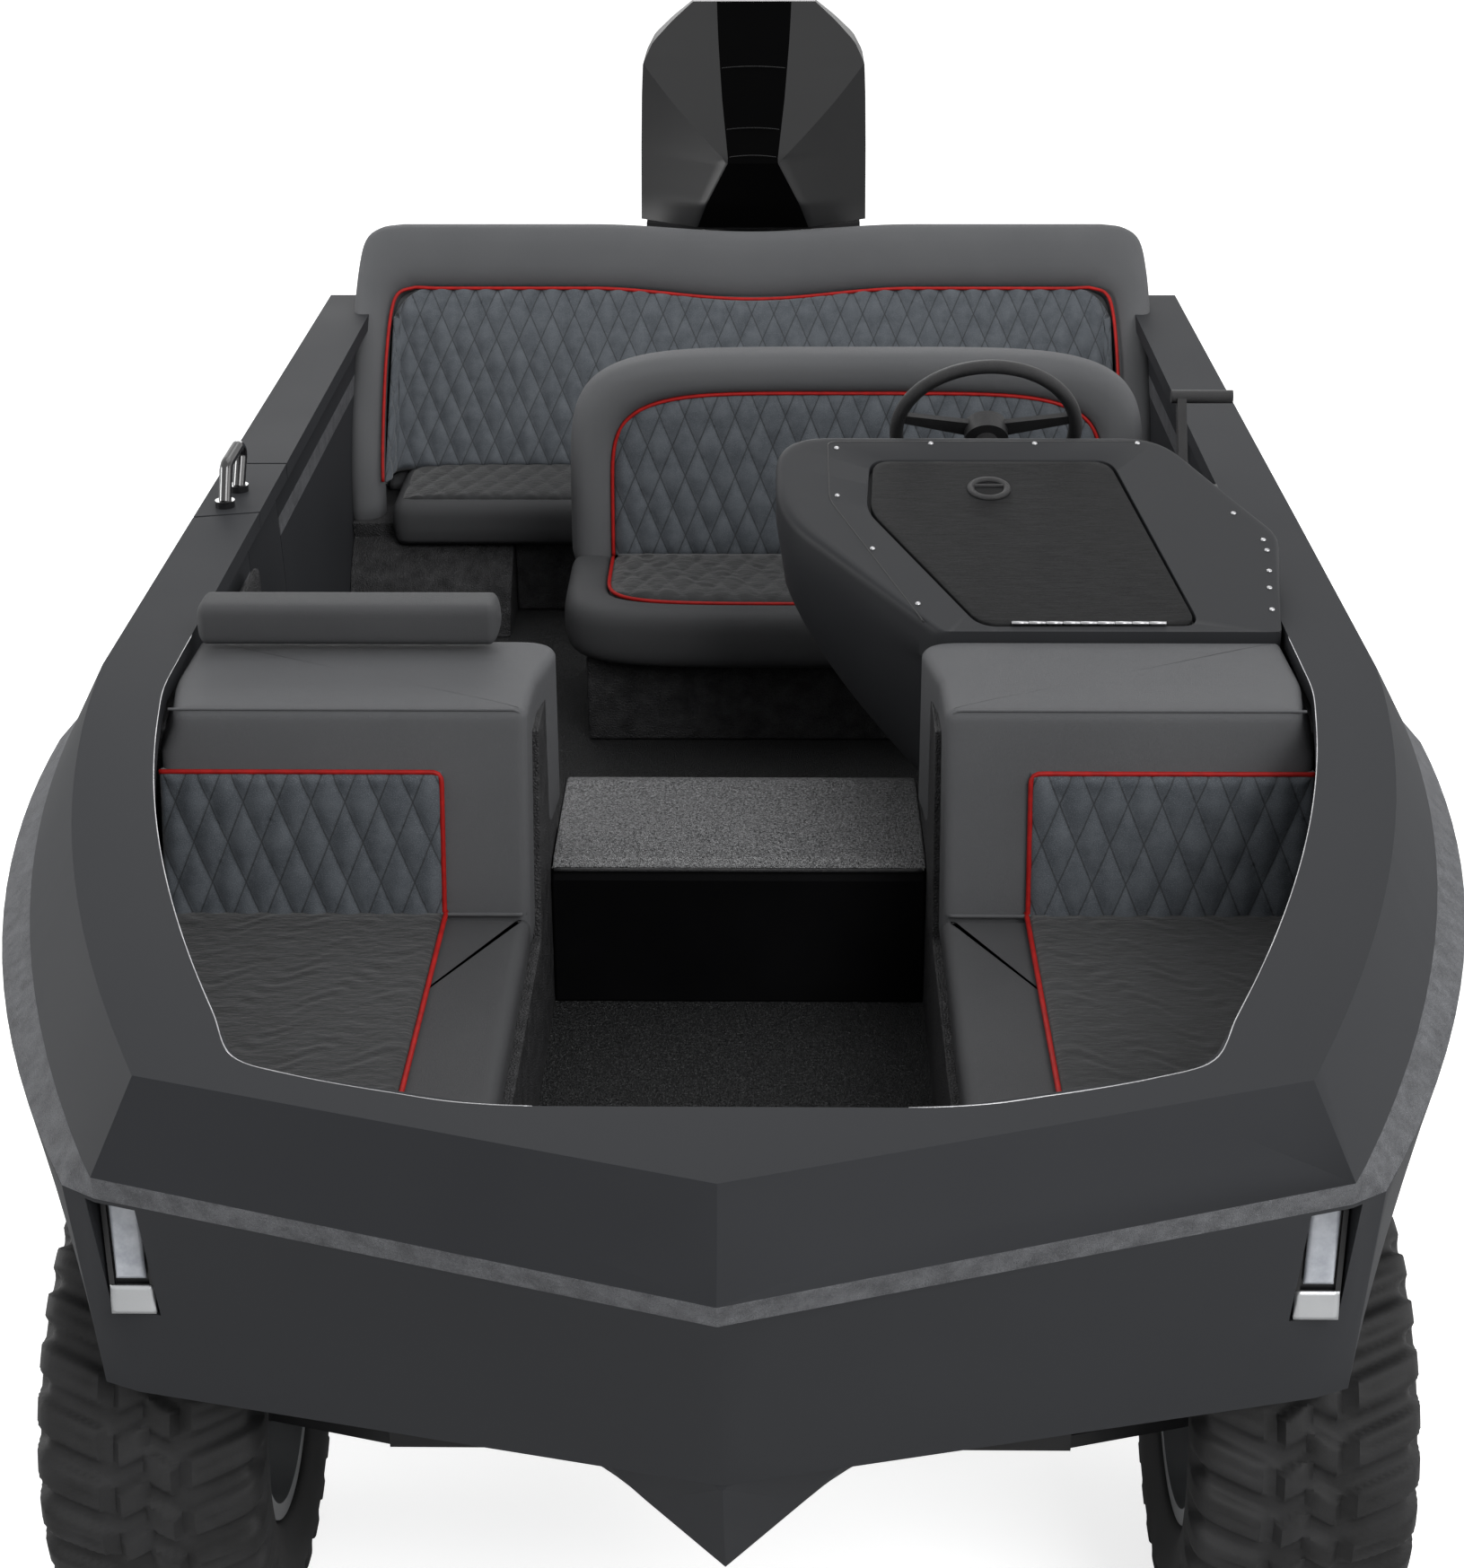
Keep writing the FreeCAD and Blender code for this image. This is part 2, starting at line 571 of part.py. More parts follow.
# Rear bench: the base's ends arch over the rear wheels.
REAR_BASE_TOP = "rearSeatHeight - 60"
REAR_TOP = "(deckHeight + rearBackRise)"
REAR_WALL = "transomAft - aftDeckLength - padGap"
BASE_END = "rearBottomHalfWidth - boxWall"
rear_block = box("rear_block", (f"-({BASE_END})", BASE_END), ("rearSeatFront + 50", REAR_WALL),
                 ("floorHeight", REAR_BASE_TOP))
pack_room = box("pack_room", (f"-({BASE_END}) + boxWall", f"{BASE_END} - boxWall"),
                ("rearSeatFront + 50 + boxWall", f"{REAR_WALL} - boxWall"),
                ("floorHeight", f"{REAR_BASE_TOP} - boxWall"))
rear_base = cut("rear_base", rear_block, pack_room)
power_pack = box("power_pack", ("-rearBottomHalfWidth + 110", "rearBottomHalfWidth - 110"),
                 ("rearSeatFront + 100", f"{REAR_WALL} - 50"),
                 ("floorHeight", f"{REAR_BASE_TOP} - boxWall - 20"))
wheel_hump = cylinder("wheel_hump", "X", BASE_END, "rearAxleAft", "wheelRadius",
                      "wheelRadius + wellGap + boxWall / 2", "400")
hump_zone = box("hump_zone", (BASE_END, "halfBeam"), ("0", REAR_WALL),
                ("floorHeight", REAR_BASE_TOP))
side_block_rear = box("side_block_rear", (BASE_END, "halfBeam"),
                      ("rearSeatFront + 50", REAR_WALL), ("floorHeight", REAR_BASE_TOP))
wheel_box_left = cut("wheel_box_left", common(
    "wheel_box_blank",
    join("wheel_box_all", side_block_rear, common("hump", wheel_hump, hump_zone)),
    bow_front_room), wells)
wheel_boxes = join("wheel_boxes", wheel_box_left, mirrored("wheel_box_right", wheel_box_left))
rear_cushion_profile = (
    ("rearSeatFront + 45", f"{REAR_BASE_TOP} + padGap"),
    ("rearBackFront - padGap", f"{REAR_BASE_TOP} + padGap"),
    ("rearBackFront - padGap", "rearSeatHeight - 40"),
    ("rearBackFront - 60", "rearSeatHeight - 30"),
    ("rearSeatFront + 30", "rearSeatHeight"), ("rearSeatFront", "rearSeatHeight - 30"),
    ("rearSeatFront + 5", "rearSeatHeight - 90"), ("rearSeatFront + 40", "rearSeatHeight - 92"),
)
REAR_SOFT = "halfBeam - gunwaleWidth - 5"
REAR_WING = "halfBeam - gunwaleWidth / 2 - 18"
rear_cushion = prism("rear_cushion", "YZ_Plane", rear_cushion_profile,
                     "-halfBeam + gunwaleWidth + 70", "halfBeam - gunwaleWidth - 70")
rear_back_side = (
    ("rearBackFront", f"{REAR_BASE_TOP} + padGap"),
    ("transomAft - aftDeckLength - 5", f"{REAR_BASE_TOP} + padGap"),
    ("transomAft - aftDeckLength - 5", "deckHeight + padGap"),
    ("transomAft - 12", "deckHeight + padGap"), ("transomAft - 12", f"{REAR_TOP} - 20"),
    ("transomAft - 28", REAR_TOP), ("transomAft - 80", REAR_TOP),
    ("transomAft - 96", f"{REAR_TOP} - 20"),
)
rear_back_front = (
    (f"-({REAR_SOFT})", f"{REAR_BASE_TOP} + padGap"), (REAR_SOFT, f"{REAR_BASE_TOP} + padGap"),
    (REAR_SOFT, "deckHeight + padGap"), (REAR_WING, "deckHeight + padGap"),
    (REAR_WING, f"{REAR_TOP} - 60"), (f"{REAR_WING} - 22", f"{REAR_TOP} - 14"),
    (f"{REAR_WING} - 70", REAR_TOP), ("300", REAR_TOP),
    ("90", f"{REAR_TOP} - rearBackDip"), ("-90", f"{REAR_TOP} - rearBackDip"),
    ("-300", REAR_TOP), (f"-({REAR_WING}) + 70", REAR_TOP),
    (f"-({REAR_WING}) + 22", f"{REAR_TOP} - 14"), (f"-({REAR_WING})", f"{REAR_TOP} - 60"),
    (f"-({REAR_WING})", "deckHeight + padGap"), (f"-({REAR_SOFT})", "deckHeight + padGap"),
)
back_slab = common(
    "back_slab",
    prism("rear_back_side", "YZ_Plane", rear_back_side, f"-({REAR_WING})", REAR_WING),
    prism("rear_back_front", "XZ_Plane", rear_back_front, "transomAft", "rearBackFront"))
bolster_profile = (
    ("transomAft - aftDeckLength - 5", f"{REAR_BASE_TOP} + padGap"),
    ("transomAft - aftDeckLength - 5", f"{REAR_TOP} - 45"),
    ("transomAft - aftDeckLength - 60", f"{REAR_TOP} - 60"),
    ("rearBackFront - 40", f"{REAR_TOP} - 200"),
    ("transomAft - aftDeckLength - bolsterDepth - 60", "rearSeatHeight + 90"),
    ("transomAft - aftDeckLength - bolsterDepth - 130", "rearSeatHeight + 10"),
    ("transomAft - aftDeckLength - bolsterDepth - 130", f"{REAR_BASE_TOP} + padGap"),
)
bolster = prism("bolster", "YZ_Plane", bolster_profile, "halfBeam - gunwaleWidth - 69",
                REAR_SOFT)
rear_back = join("rear_back", back_slab, bolster, mirrored("bolster_right", bolster))


# Console: a pod on the left whose top slopes down towards the bow.
# Columns: x, y of the top's corners, as places in the cockpit.
console_front = d.lockerAft - d.prowAhead


def console_y(share):
    """A place along the console, 0 at the bow locker and 1 at the top's rear edge."""
    return console_front + share * (-d.consoleRear - console_front)


def console_slope(y):
    """Height of the console's sloping top at y."""
    return d.deckHeight + d.consoleRise * (y - console_front) / (-d.consoleRear - console_front)


def console_corners(inset, drop, overhang=0):
    """Corners of the pod's outline, moved inwards, each at the slope's height less a drop."""
    front = console_front + d.consoleGap
    rear = -d.consoleRear
    outer = d.halfBeam - d.gunwaleWidth - d.consoleGap
    corners = (
        (d.consoleRight + inset, rear - inset * 0.4),
        (d.consoleRight + inset, console_y(0.594) - inset * 0.2),
        (d.aisleHalfWidth + 16 + inset * 0.4, front), (outer - 6, front),
        (outer + overhang, console_y(0.49)), (d.consoleRearLeft, rear - inset * 0.4),
    )
    return [Vector(x, y, console_slope(y) - drop) for x, y in corners]


def at_height(points, height):
    return [Vector(p.x, p.y, height) for p in points]


def polygon(points):
    return Part.makePolygon(list(points) + [points[0]])


def polyhedron(rings):
    """A solid between rings of equal count, closed by a fan at each end."""
    faces = []
    for low, high in zip(rings, rings[1:]):
        count = len(low)
        for i in range(count):
            j = (i + 1) % count
            for trio in ((low[i], low[j], high[j]), (low[i], high[j], high[i])):
                faces.append(Part.Face(polygon(trio)))
    for ring in (rings[0], rings[-1]):
        for i in range(1, len(ring) - 1):
            faces.append(Part.Face(polygon((ring[0], ring[i], ring[i + 1]))))
    solid = Part.Solid(Part.Shell(faces))
    if solid.Volume < 0:
        solid.reverse()
    return solid


OVERHANG = 30
pod_foot = d.deckHeight - d.consoleFoot
pod_rings = [
    at_height(console_corners(330, 0), pod_foot),
    at_height(console_corners(170, 0), pod_foot + 150),
    console_corners(30, 130),
    console_corners(0, 40, OVERHANG),
    console_corners(0, 0, OVERHANG),
]
pod = computed("pod", polyhedron(pod_rings))
pedestal = box("pedestal", ("halfBeam - gunwaleWidth - 260", "halfBeam - gunwaleWidth - 10"),
               (f"{LOCKER_Y} + padGap * 2", "-consoleRear - 160"),
               ("floorHeight", "deckHeight - consoleFoot + 60"))

# The hatch lies in a rebate of the top; the bin under it is open upwards.
# Columns: x and the share of the way from the bow locker to the top's rear edge.
HATCH = ((218, 0.862), (611, 0.862), (706, 0.038), (372, 0.038), (210, 0.594))
hatch_corners = [(x, console_y(share)) for x, share in HATCH]
slope_along = Vector(0, 1, console_slope(1) - console_slope(0)).normalize()
slope_up = Vector(1, 0, 0).cross(slope_along)


def slope_prism(corners, grow, below, above):
    """A prism square to the sloping top, from below it to above it."""
    middle = Vector(sum(x for x, _ in corners) / len(corners),
                    sum(y for _, y in corners) / len(corners), 0)
    points = []
    for x, y in corners:
        away = Vector(x, y, 0) - middle
        away.normalize()
        x, y = x + grow * away.x * 1.3, y + grow * away.y * 1.3
        points.append(Vector(x, y, console_slope(y)))
    face = Part.Face(polygon(points))
    face.translate(slope_up * -below)
    return face.extrude(slope_up * (below + above))


hatch_rebate = computed("hatch_rebate", slope_prism(
    hatch_corners, d.hatchGap, d.hatchThickness + d.padGap, 30))
bin_hollow = computed("bin_hollow", slope_prism(hatch_corners, -35, d.binDepth, 30))

# The hatch's hinge runs along its front edge: knuckles turn about by turn with their leaves.
HINGE_LEFT, HINGE_RIGHT, KNUCKLES, LEAF, LEAF_THICK = 660, 420, 5, 12, 1.2
hinge_y = hatch_corners[2][1] - d.hatchGap / 2
hinge_axis = Vector(0, hinge_y, console_slope(hinge_y)) + slope_up * (d.hatchHinge - 0.5)
knuckle_length = (HINGE_LEFT - HINGE_RIGHT) / KNUCKLES


def hinge_half(first, side):
    """Every second knuckle from the first, with a leaf on that side of the hinge line."""
    length = knuckle_length - 0.5
    pieces = []
    for index in range(first, KNUCKLES, 2):
        start = Vector(HINGE_RIGHT + index * knuckle_length, 0, 0) + hinge_axis
        pieces.append(Part.makeCylinder(d.hatchHinge, length, start, Vector(1, 0, 0)))
        foot = start - slope_up * (d.hatchHinge - 0.5) + slope_along * (side * 2.7)
        tab = polygon([foot, foot + Vector(length, 0, 0),
                       foot + Vector(length, 0, 0) + slope_along * (side * LEAF),
                       foot + slope_along * (side * LEAF)])
        leaf = Part.Face(tab).extrude(slope_up * LEAF_THICK)
        web = polygon([foot, foot + slope_up * LEAF_THICK,
                       start, start - slope_up * 2])
        pieces += [leaf, Part.Face(web).extrude(Vector(length, 0, 0))]
    return pieces[0].multiFuse(pieces[1:])


hatch_plate = slope_prism(hatch_corners, 0, d.hatchThickness, 0)
console_hatch = computed("console_hatch", hatch_plate.fuse(hinge_half(0, 1)))
hatch_hinge = computed("hatch_hinge", hinge_half(1, -1))

# Steering wheel, turned about its own column.
RIM_TILT = Rotation(Vector(1, 0, 0), -(90 - d.steeringRake))
steering_middle = Vector(d.steeringSide, d.steeringAft, d.deckHeight + d.steeringRise)
steering_place = Placement(steering_middle, RIM_TILT)
rim_ring = doc.addObject("Part::Torus", "steering_ring")
bind(rim_ring, "Radius1", "steeringRadius")
bind(rim_ring, "Radius2", "steeringTube")
hub_disc = cylinder("steering_hub", "Z", 0, 0, -24, 38, 34)
column = cylinder("steering_column", "Z", 0, 0, "-columnLength", "columnRadius",
                  "columnLength - 10")
spokes = []
for index, angle in enumerate((-12, 90, 192)):
    spoke = prism(f"spoke_{index}", "XY_Plane",
                  ((20, -16), ("steeringRadius", -9), ("steeringRadius", 9), (20, 16)), -5, 5)
    spoke.Placement = Placement(Vector(), Rotation(Vector(0, 0, 1), angle))
    spokes.append(spoke)
steering_wheel = join("steering_wheel", rim_ring, hub_disc, column, *spokes)
steering_wheel.Placement = steering_place
column_bore = cylinder("column_bore", "Z", 0, 0, "-columnLength - 3", "columnRadius + 0.5",
                       "columnLength")
column_bush = doc.addObject("Part::Compound", "column_bush")
column_bush.Links = [column_bore]
column_bush.Placement = steering_place
console = join("console", hatch_hinge, cut(
    "console_shell", join("console_blank", pod, pedestal), hatch_rebate, bin_hollow, column_bush,
    deck_ring))

# Engine control on the left gunwale: a round housing with a stem and a T grip.
control_disc = cylinder("control_disc", "X", "halfBeam - gunwaleWidth - 44", 75,
                        "deckHeight - 40", 44, "44 - padGap")
control_stem = prism("control_stem", "YZ_Plane",
                     ((62, "deckHeight - 40"), (88, "deckHeight - 40"), (198, "deckHeight + 128"),
                      (176, "deckHeight + 136")), "halfBeam - gunwaleWidth - 66",
                     "halfBeam - gunwaleWidth - 50")
control_link = cylinder("control_link", "X", "halfBeam - gunwaleWidth - 66", 75,
                        "deckHeight - 40", 16, 30)
control_grip = cylinder("control_grip", "X", "halfBeam - gunwaleWidth - 76", 187,
                        "deckHeight + 134", 12, 110)
throttle = join("throttle", control_disc, control_stem, control_link, control_grip)
pedal = prism("pedal", "YZ_Plane",
              ((-275, "floorHeight"), (-225, "floorHeight"), (-235, "floorHeight + 70"),
               (-246, "floorHeight + 84"), (-262, "floorHeight + 78")), 132, 212)

# Boarding door with its piece of gunwale; its hinge stands just outside the hull's side.
door_wall = join("door_wall", deck_block, band_block, side_block)
door_panel = cut("door_panel", common("door_blank", door_wall, door_shape), hollow)
HINGE_X = "-halfBeam - 8"
HINGE_Y = "doorRear + doorGap / 2"
door_knuckle = cylinder("door_knuckle", "Z", HINGE_X, HINGE_Y, "deckHeight - 82", 7, 52)
door_leaf = box("door_leaf", ("-halfBeam - 5", "-halfBeam + 1"), ("doorRear - 45", HINGE_Y),
                ("deckHeight - 82", "deckHeight - 30"))
boarding_door = join("boarding_door", door_panel, door_knuckle, door_leaf)
fixed_knuckles = []
for name, low, high in (("low", "deckHeight - 125", "deckHeight - 82.5"),
                        ("high", "deckHeight - 29.5", "deckHeight - 8")):
    barrel = cylinder(f"hinge_{name}", "Z", HINGE_X, HINGE_Y, low, 7, f"({high}) - ({low})")
    leaf = box(f"hinge_leaf_{name}", ("-halfBeam - 5", "-halfBeam"),
               ("doorRear + doorGap / 2", "doorRear + doorGap + 45"), (low, high))
    fixed_knuckles.append(join(f"hinge_side_{name}", barrel, leaf))
door_hinge = join("door_hinge", *fixed_knuckles)

# Grab handle: a bent tube with two feet.
HANDLE = ((-905, -38, 8), (-904, -6, 66), (-892, 88, 84), (-897, 50, 8))


def tube(points, radius, bend):
    """A round tube along straight runs with rounded corners."""
    path = []
    here = points[0]
    for before, corner, after in zip(points, points[1:], points[2:]):
        inward = (before - corner).normalize()
        onward = (after - corner).normalize()
        half_turn = inward.getAngle(onward) / 2
        reach = bend / math.tan(half_turn)
        start = corner + inward * reach
        end = corner + onward * reach
        centre = corner + (inward + onward).normalize() * (bend / math.sin(half_turn))
        middle = centre + (corner - centre).normalize() * bend
        path += [Part.LineSegment(here, start).toShape(), Part.Arc(start, middle, end).toShape()]
        here = end
    path.append(Part.LineSegment(here, points[-1]).toShape())
    direction = (points[1] - points[0]).normalize()
    section = Part.Wire(Part.Circle(points[0], direction, radius).toShape())
    return Part.Wire(path).makePipeShell([section], True, False)


handle_points = [Vector(x, y, d.deckHeight + z) for x, y, z in HANDLE]
handle_feet = [Part.makeCylinder(d.handleTube + 6, 12, Vector(p.x, p.y, d.deckHeight))
               for p in (handle_points[0], handle_points[-1])]
grab_handle = computed("grab_handle", tube(handle_points, d.handleTube, 16).multiFuse(handle_feet))

# Head lamps: a slim housing in each pocket with its lens let into the front.
lamp_body = box("lamp_body", (f"{LAMP_IN} + 4", f"{LAMP_OUT} - 4"),
                (f"{LAMP_REAR} - 40", LAMP_REAR), (f"{LAMP_LOW} + 3", f"{LAMP_HIGH} - 3"))
lamp_window = box("lamp_window", (f"{LAMP_IN} + 10", f"{LAMP_OUT} - 10"),
                  (f"{LAMP_REAR} - 41", f"{LAMP_REAR} - 34"), (f"{LAMP_LOW} + 30", f"{LAMP_HIGH} - 9"))
lamp_left = cut("lamp_left", lamp_body, lamp_window)
head_lamps = join("head_lamps", lamp_left, mirrored("lamp_right", lamp_left))


# Running gear: brackets under the V bottom, arms, knuckles, spindles.
def bracket(name, inner, outer, axle_y):
    """A block from the V bottom out to the wheel's arms."""
    block = box(name, (inner, outer), (f"({axle_y}) - 75", f"({axle_y}) + 75"),
                ("keelHeight + 2", "wheelRadius + 112"))
    return cut(name + "_seated", block, bottom_block)


KINGPIN = "wheelTrack - kingpinInset"
ARM_HEIGHTS = (("lower", "wheelRadius - 38"), ("upper", "wheelRadius + 92"))
front_bracket = bracket("front_bracket", "150", "bottomHalfWidth + 14", FRONT_Y)
arms = []
for name, height in ARM_HEIGHTS:
    wishbone = prism(
        f"{name}_arm", "XY_Plane",
        (("bottomHalfWidth + 12", f"{FRONT_Y} - 70"), (f"{KINGPIN} - 60", f"{FRONT_Y} - 22"),
         (f"{KINGPIN} + 4", f"{FRONT_Y} - 22"), (f"{KINGPIN} + 24", f"{FRONT_Y} - 8"),
         (f"{KINGPIN} + 24", f"{FRONT_Y} + 8"), (f"{KINGPIN} + 4", f"{FRONT_Y} + 22"),
         (f"{KINGPIN} - 60", f"{FRONT_Y} + 22"), ("bottomHalfWidth + 12", f"{FRONT_Y} + 70"),
         ("bottomHalfWidth + 12", f"{FRONT_Y} + 38"), (f"{KINGPIN} - 90", FRONT_Y),
         ("bottomHalfWidth + 12", f"{FRONT_Y} - 38")),
        f"{height} - 10", f"{height} + 10")
    arms.append(wishbone)
pin_hole = cylinder("pin_hole", "Z", KINGPIN, FRONT_Y, "wheelRadius - 80", 9.05, 220)
arm_left = cut("arm_left", join("arm_left_blank", front_bracket, *arms), pin_hole)
front_arms = join("front_arms", arm_left, mirrored("arm_right", arm_left))

kingpin = cylinder("kingpin", "Z", KINGPIN, FRONT_Y, "wheelRadius - 52", 9, 158)
upright = cylinder("upright", "Z", KINGPIN, FRONT_Y, "wheelRadius - 27.7", 20, 109.4)
carrier = cylinder("carrier", "X", f"{KINGPIN} - 5", FRONT_Y, "wheelRadius", 22, 68)
spindle = cylinder("spindle", "X", KINGPIN, FRONT_Y, "wheelRadius", "spindleRadius", 114)
knuckle_left = join("knuckle_left", kingpin, upright, carrier, spindle)
knuckle_right = mirrored("knuckle_right", knuckle_left)

REAR_Y = "rearAxleAft"
rear_bracket = bracket("rear_bracket", "150", "rearBottomHalfWidth - 10", REAR_Y)
hub_tube = cylinder("hub_tube", "X", "rearBottomHalfWidth - 11", REAR_Y, "wheelRadius", 42,
                    f"{KINGPIN} + 63 - rearBottomHalfWidth + 11")
rear_spindle = cylinder("rear_spindle", "X", KINGPIN, REAR_Y, "wheelRadius", "spindleRadius", 114)
axle_left = join("axle_left", rear_bracket, hub_tube, rear_spindle)
rear_axle = join("rear_axle", axle_left, mirrored("axle_right", axle_left))

# Wheels: rim and tyre profiles, along the axle and out from it.
FLANGE = 14
rim_profile = (
    (-118, f"rimRadius + {FLANGE}"), (-110, f"rimRadius + {FLANGE}"), (-106, "rimRadius"),
    (106, "rimRadius"), (110, f"rimRadius + {FLANGE}"), (118, f"rimRadius + {FLANGE}"),
    (118, "rimRadius - 8"), (84, "rimRadius - 12"), (66, 72), (76, 56),
    (76, "spindleRadius + 0.05"), (26, "spindleRadius + 0.05"), (26, 48), (50, 66),
    (66, "rimRadius - 20"), (-118, "rimRadius - 8"),
)
tread_side = (
    ("105.7", "rimRadius + 0.3"), ("105.7", f"rimRadius + {FLANGE + 2}"),
    ("122", f"rimRadius + {FLANGE + 6}"), ("tyreWidth / 2 - 3", "wheelRadius - 82"),
    ("tyreWidth / 2", "wheelRadius - 46"), ("tyreWidth / 2 - 7", "wheelRadius - 16"),
    ("tyreWidth / 2 - 30", "wheelRadius - 4"), ("tyreWidth / 2 - 90", "wheelRadius"),
)
tyre_profile = tread_side + tuple((f"-({along})", radius) for along, radius in tread_side[::-1])
WHEELS = (
    ("front_left", 1, FRONT_Y), ("front_right", -1, FRONT_Y),
    ("rear_left", 1, REAR_Y), ("rear_right", -1, REAR_Y),
)
wheel_nodes = {}
for name, side, axle_y in WHEELS:
    rim = revolved(f"rim_{name}", rim_profile)
    tyre = revolved(f"tyre_{name}", tyre_profile)
    for item in (rim, tyre):
        if side < 0:
            item.Placement = Placement(Vector(), Rotation(Vector(0, 0, 1), 180))
        place(item, f"{side} * wheelTrack", axle_y, "wheelRadius")
        wheel_nodes[item.Name] = item

# Outboard motor. The setback bracket carries the tilt axis behind the transom.
TILT_Y, TILT_Z = "(transomAft + setback)", "(deckHeight + tiltRise)"
STEER_Y = "(transomAft + setback + steerReach)"
PROP_Y = "(transomAft + setback + steerReach + propReach)"
tilt_y, tilt_z = d.transomAft + d.setback, d.deckHeight + d.tiltRise
steer_y = tilt_y + d.steerReach
prop_y = steer_y + d.propReach
plate = box("bracket_plate", ("-bracketHalfWidth", "bracketHalfWidth"),
            ("transomAft", "transomAft + 16"), ("deckHeight - 330", "deckHeight - 60"))
rail_profile = (
    ("transomAft", "deckHeight - 325"), (f"{TILT_Y} - 30", f"{TILT_Z} - 150"),
    (f"{TILT_Y} + 24", f"{TILT_Z} - 20"), (f"{TILT_Y} + 24", f"{TILT_Z} + 11"),
    (f"{TILT_Y} + 11", f"{TILT_Z} + 24"), (f"{TILT_Y} - 11", f"{TILT_Z} + 24"),
    (f"{TILT_Y} - 26", f"{TILT_Z} + 8"), (f"{TILT_Y} - 38", f"{TILT_Z} - 75"),
    ("transomAft", "deckHeight - 100"),
)
rail_left = prism("rail_left", "YZ_Plane", rail_profile, "bracketHalfWidth - 32",
                  "bracketHalfWidth - 12")
rail_right = mirrored("rail_right", rail_left)
tilt_bore = cylinder("tilt_bore", "X", "-bracketHalfWidth", TILT_Y, TILT_Z,
                     "tiltTube + 0.05", "2 * bracketHalfWidth")
motor_bracket = cut("motor_bracket", join("bracket_blank", plate, rail_left, rail_right),
                    tilt_bore)

tilt_tube = cylinder("tilt_tube", "X", "-bracketHalfWidth + 6", TILT_Y, TILT_Z,
                     "tiltTube", "2 * bracketHalfWidth - 12")
swivel_profile = (
    (f"{TILT_Y} - 24", f"{TILT_Z} + 22"), (f"{STEER_Y} + 26", f"{TILT_Z} + 22"),
    (f"{STEER_Y} + 26", f"{TILT_Z} - 330"), (f"{STEER_Y} - 34", f"{TILT_Z} - 330"),
    (f"{TILT_Y} - 4", f"{TILT_Z} - 60"),
)
swivel_core = prism("swivel_core", "YZ_Plane", swivel_profile, -44, 44)
tilt_eye = cylinder("tilt_eye", "X", "-bracketHalfWidth + 38", TILT_Y, TILT_Z,
                    24, "2 * bracketHalfWidth - 76")
steer_bore = cylinder("steer_bore", "Z", 0, STEER_Y, f"{TILT_Z} - 400", "steerTube + 0.05",
                      500)
swivel_bracket = cut("swivel_bracket", join("swivel_blank", swivel_core, tilt_eye, tilt_tube),
                     steer_bore)

# Leg: steering tube with a yoke at each end, midsection, gear case, plate and skeg.
steer_shaft = cylinder("steer_shaft", "Z", 0, STEER_Y, f"{TILT_Z} - 370",
                       "steerTube", "cowlGap + 368")
upper_yoke = box("upper_yoke", (-60, 60), (f"{STEER_Y} - 40", f"{STEER_Y} + 244"),
                 (f"{TILT_Z} + 27", f"{TILT_Z} + cowlGap - 1"))
lower_yoke = box("lower_yoke", (-40, 40), (f"{STEER_Y} - 40", f"{STEER_Y} + 130"),
                 (f"{TILT_Z} - 375", f"{TILT_Z} - 335"))
LEG_SETBACK = 46
LEG_FRONT = f"{STEER_Y} + {LEG_SETBACK}"


def leg_section(front, tail, half_width, height):
    """A pointed leg section, blunt in front."""
    return polygon([Vector(0, front, height), Vector(half_width, front + 45, height),
                    Vector(half_width, tail - 90, height), Vector(0, tail, height),
                    Vector(-half_width, tail - 90, height), Vector(-half_width, front + 45, height)])


leg_front = steer_y + LEG_SETBACK
LEG_SECTIONS = (
    (leg_front, leg_front + 330, 92, tilt_z + 30),
    (leg_front, leg_front + 290, 74, tilt_z - 150),
    (leg_front + 8, leg_front + 250, 46, tilt_z - 420),
    (leg_front + 22, leg_front + 240, 34, d.propHeight + 40),
)
leg_block = computed("leg_block", Part.makeLoft([leg_section(*row) for row in LEG_SECTIONS],
                                                True, True))
plate_height = d.propHeight + d.propRadius + 28
plate_shape = Part.makeLoft([leg_section(leg_front - 10, prop_y + 110, 105, plate_height + z)
                             for z in (0, 10)], True, True)
anti_splash = computed("anti_splash", plate_shape)
case_length = prop_y - 42 - (leg_front - 10)
case_profile = ((0, 10), (30, 34), (80, 46), (190, 46), (case_length, 40))
case_points = [Vector(0, 0, 0)] + [Vector(0, y, r) for y, r in case_profile]
case_points.append(Vector(0, case_length, 0))
case_face = Part.Face(polygon(case_points))
case_shape = case_face.revolve(Vector(), Vector(0, 1, 0), 360)
case_shape.translate(Vector(0, leg_front - 10, d.propHeight))
gear_case = computed("gear_case", case_shape)
skeg = prism("skeg", "YZ_Plane",
             ((f"{LEG_FRONT} + 60", "propHeight - 30"), (f"{PROP_Y} - 60", "propHeight - 30"),
              (f"{PROP_Y} - 70", "propHeight - propRadius - 20"),
              (f"{PROP_Y} - 130", "propHeight - propRadius - 20")), -6, 6)
prop_shaft = cylinder("prop_shaft", "Y", 0, f"{PROP_Y} - 60", "propHeight", "shaftRadius", 130)
motor_leg = join("motor_leg", leg_block, anti_splash, gear_case, skeg, prop_shaft,
                 steer_shaft, upper_yoke, lower_yoke)

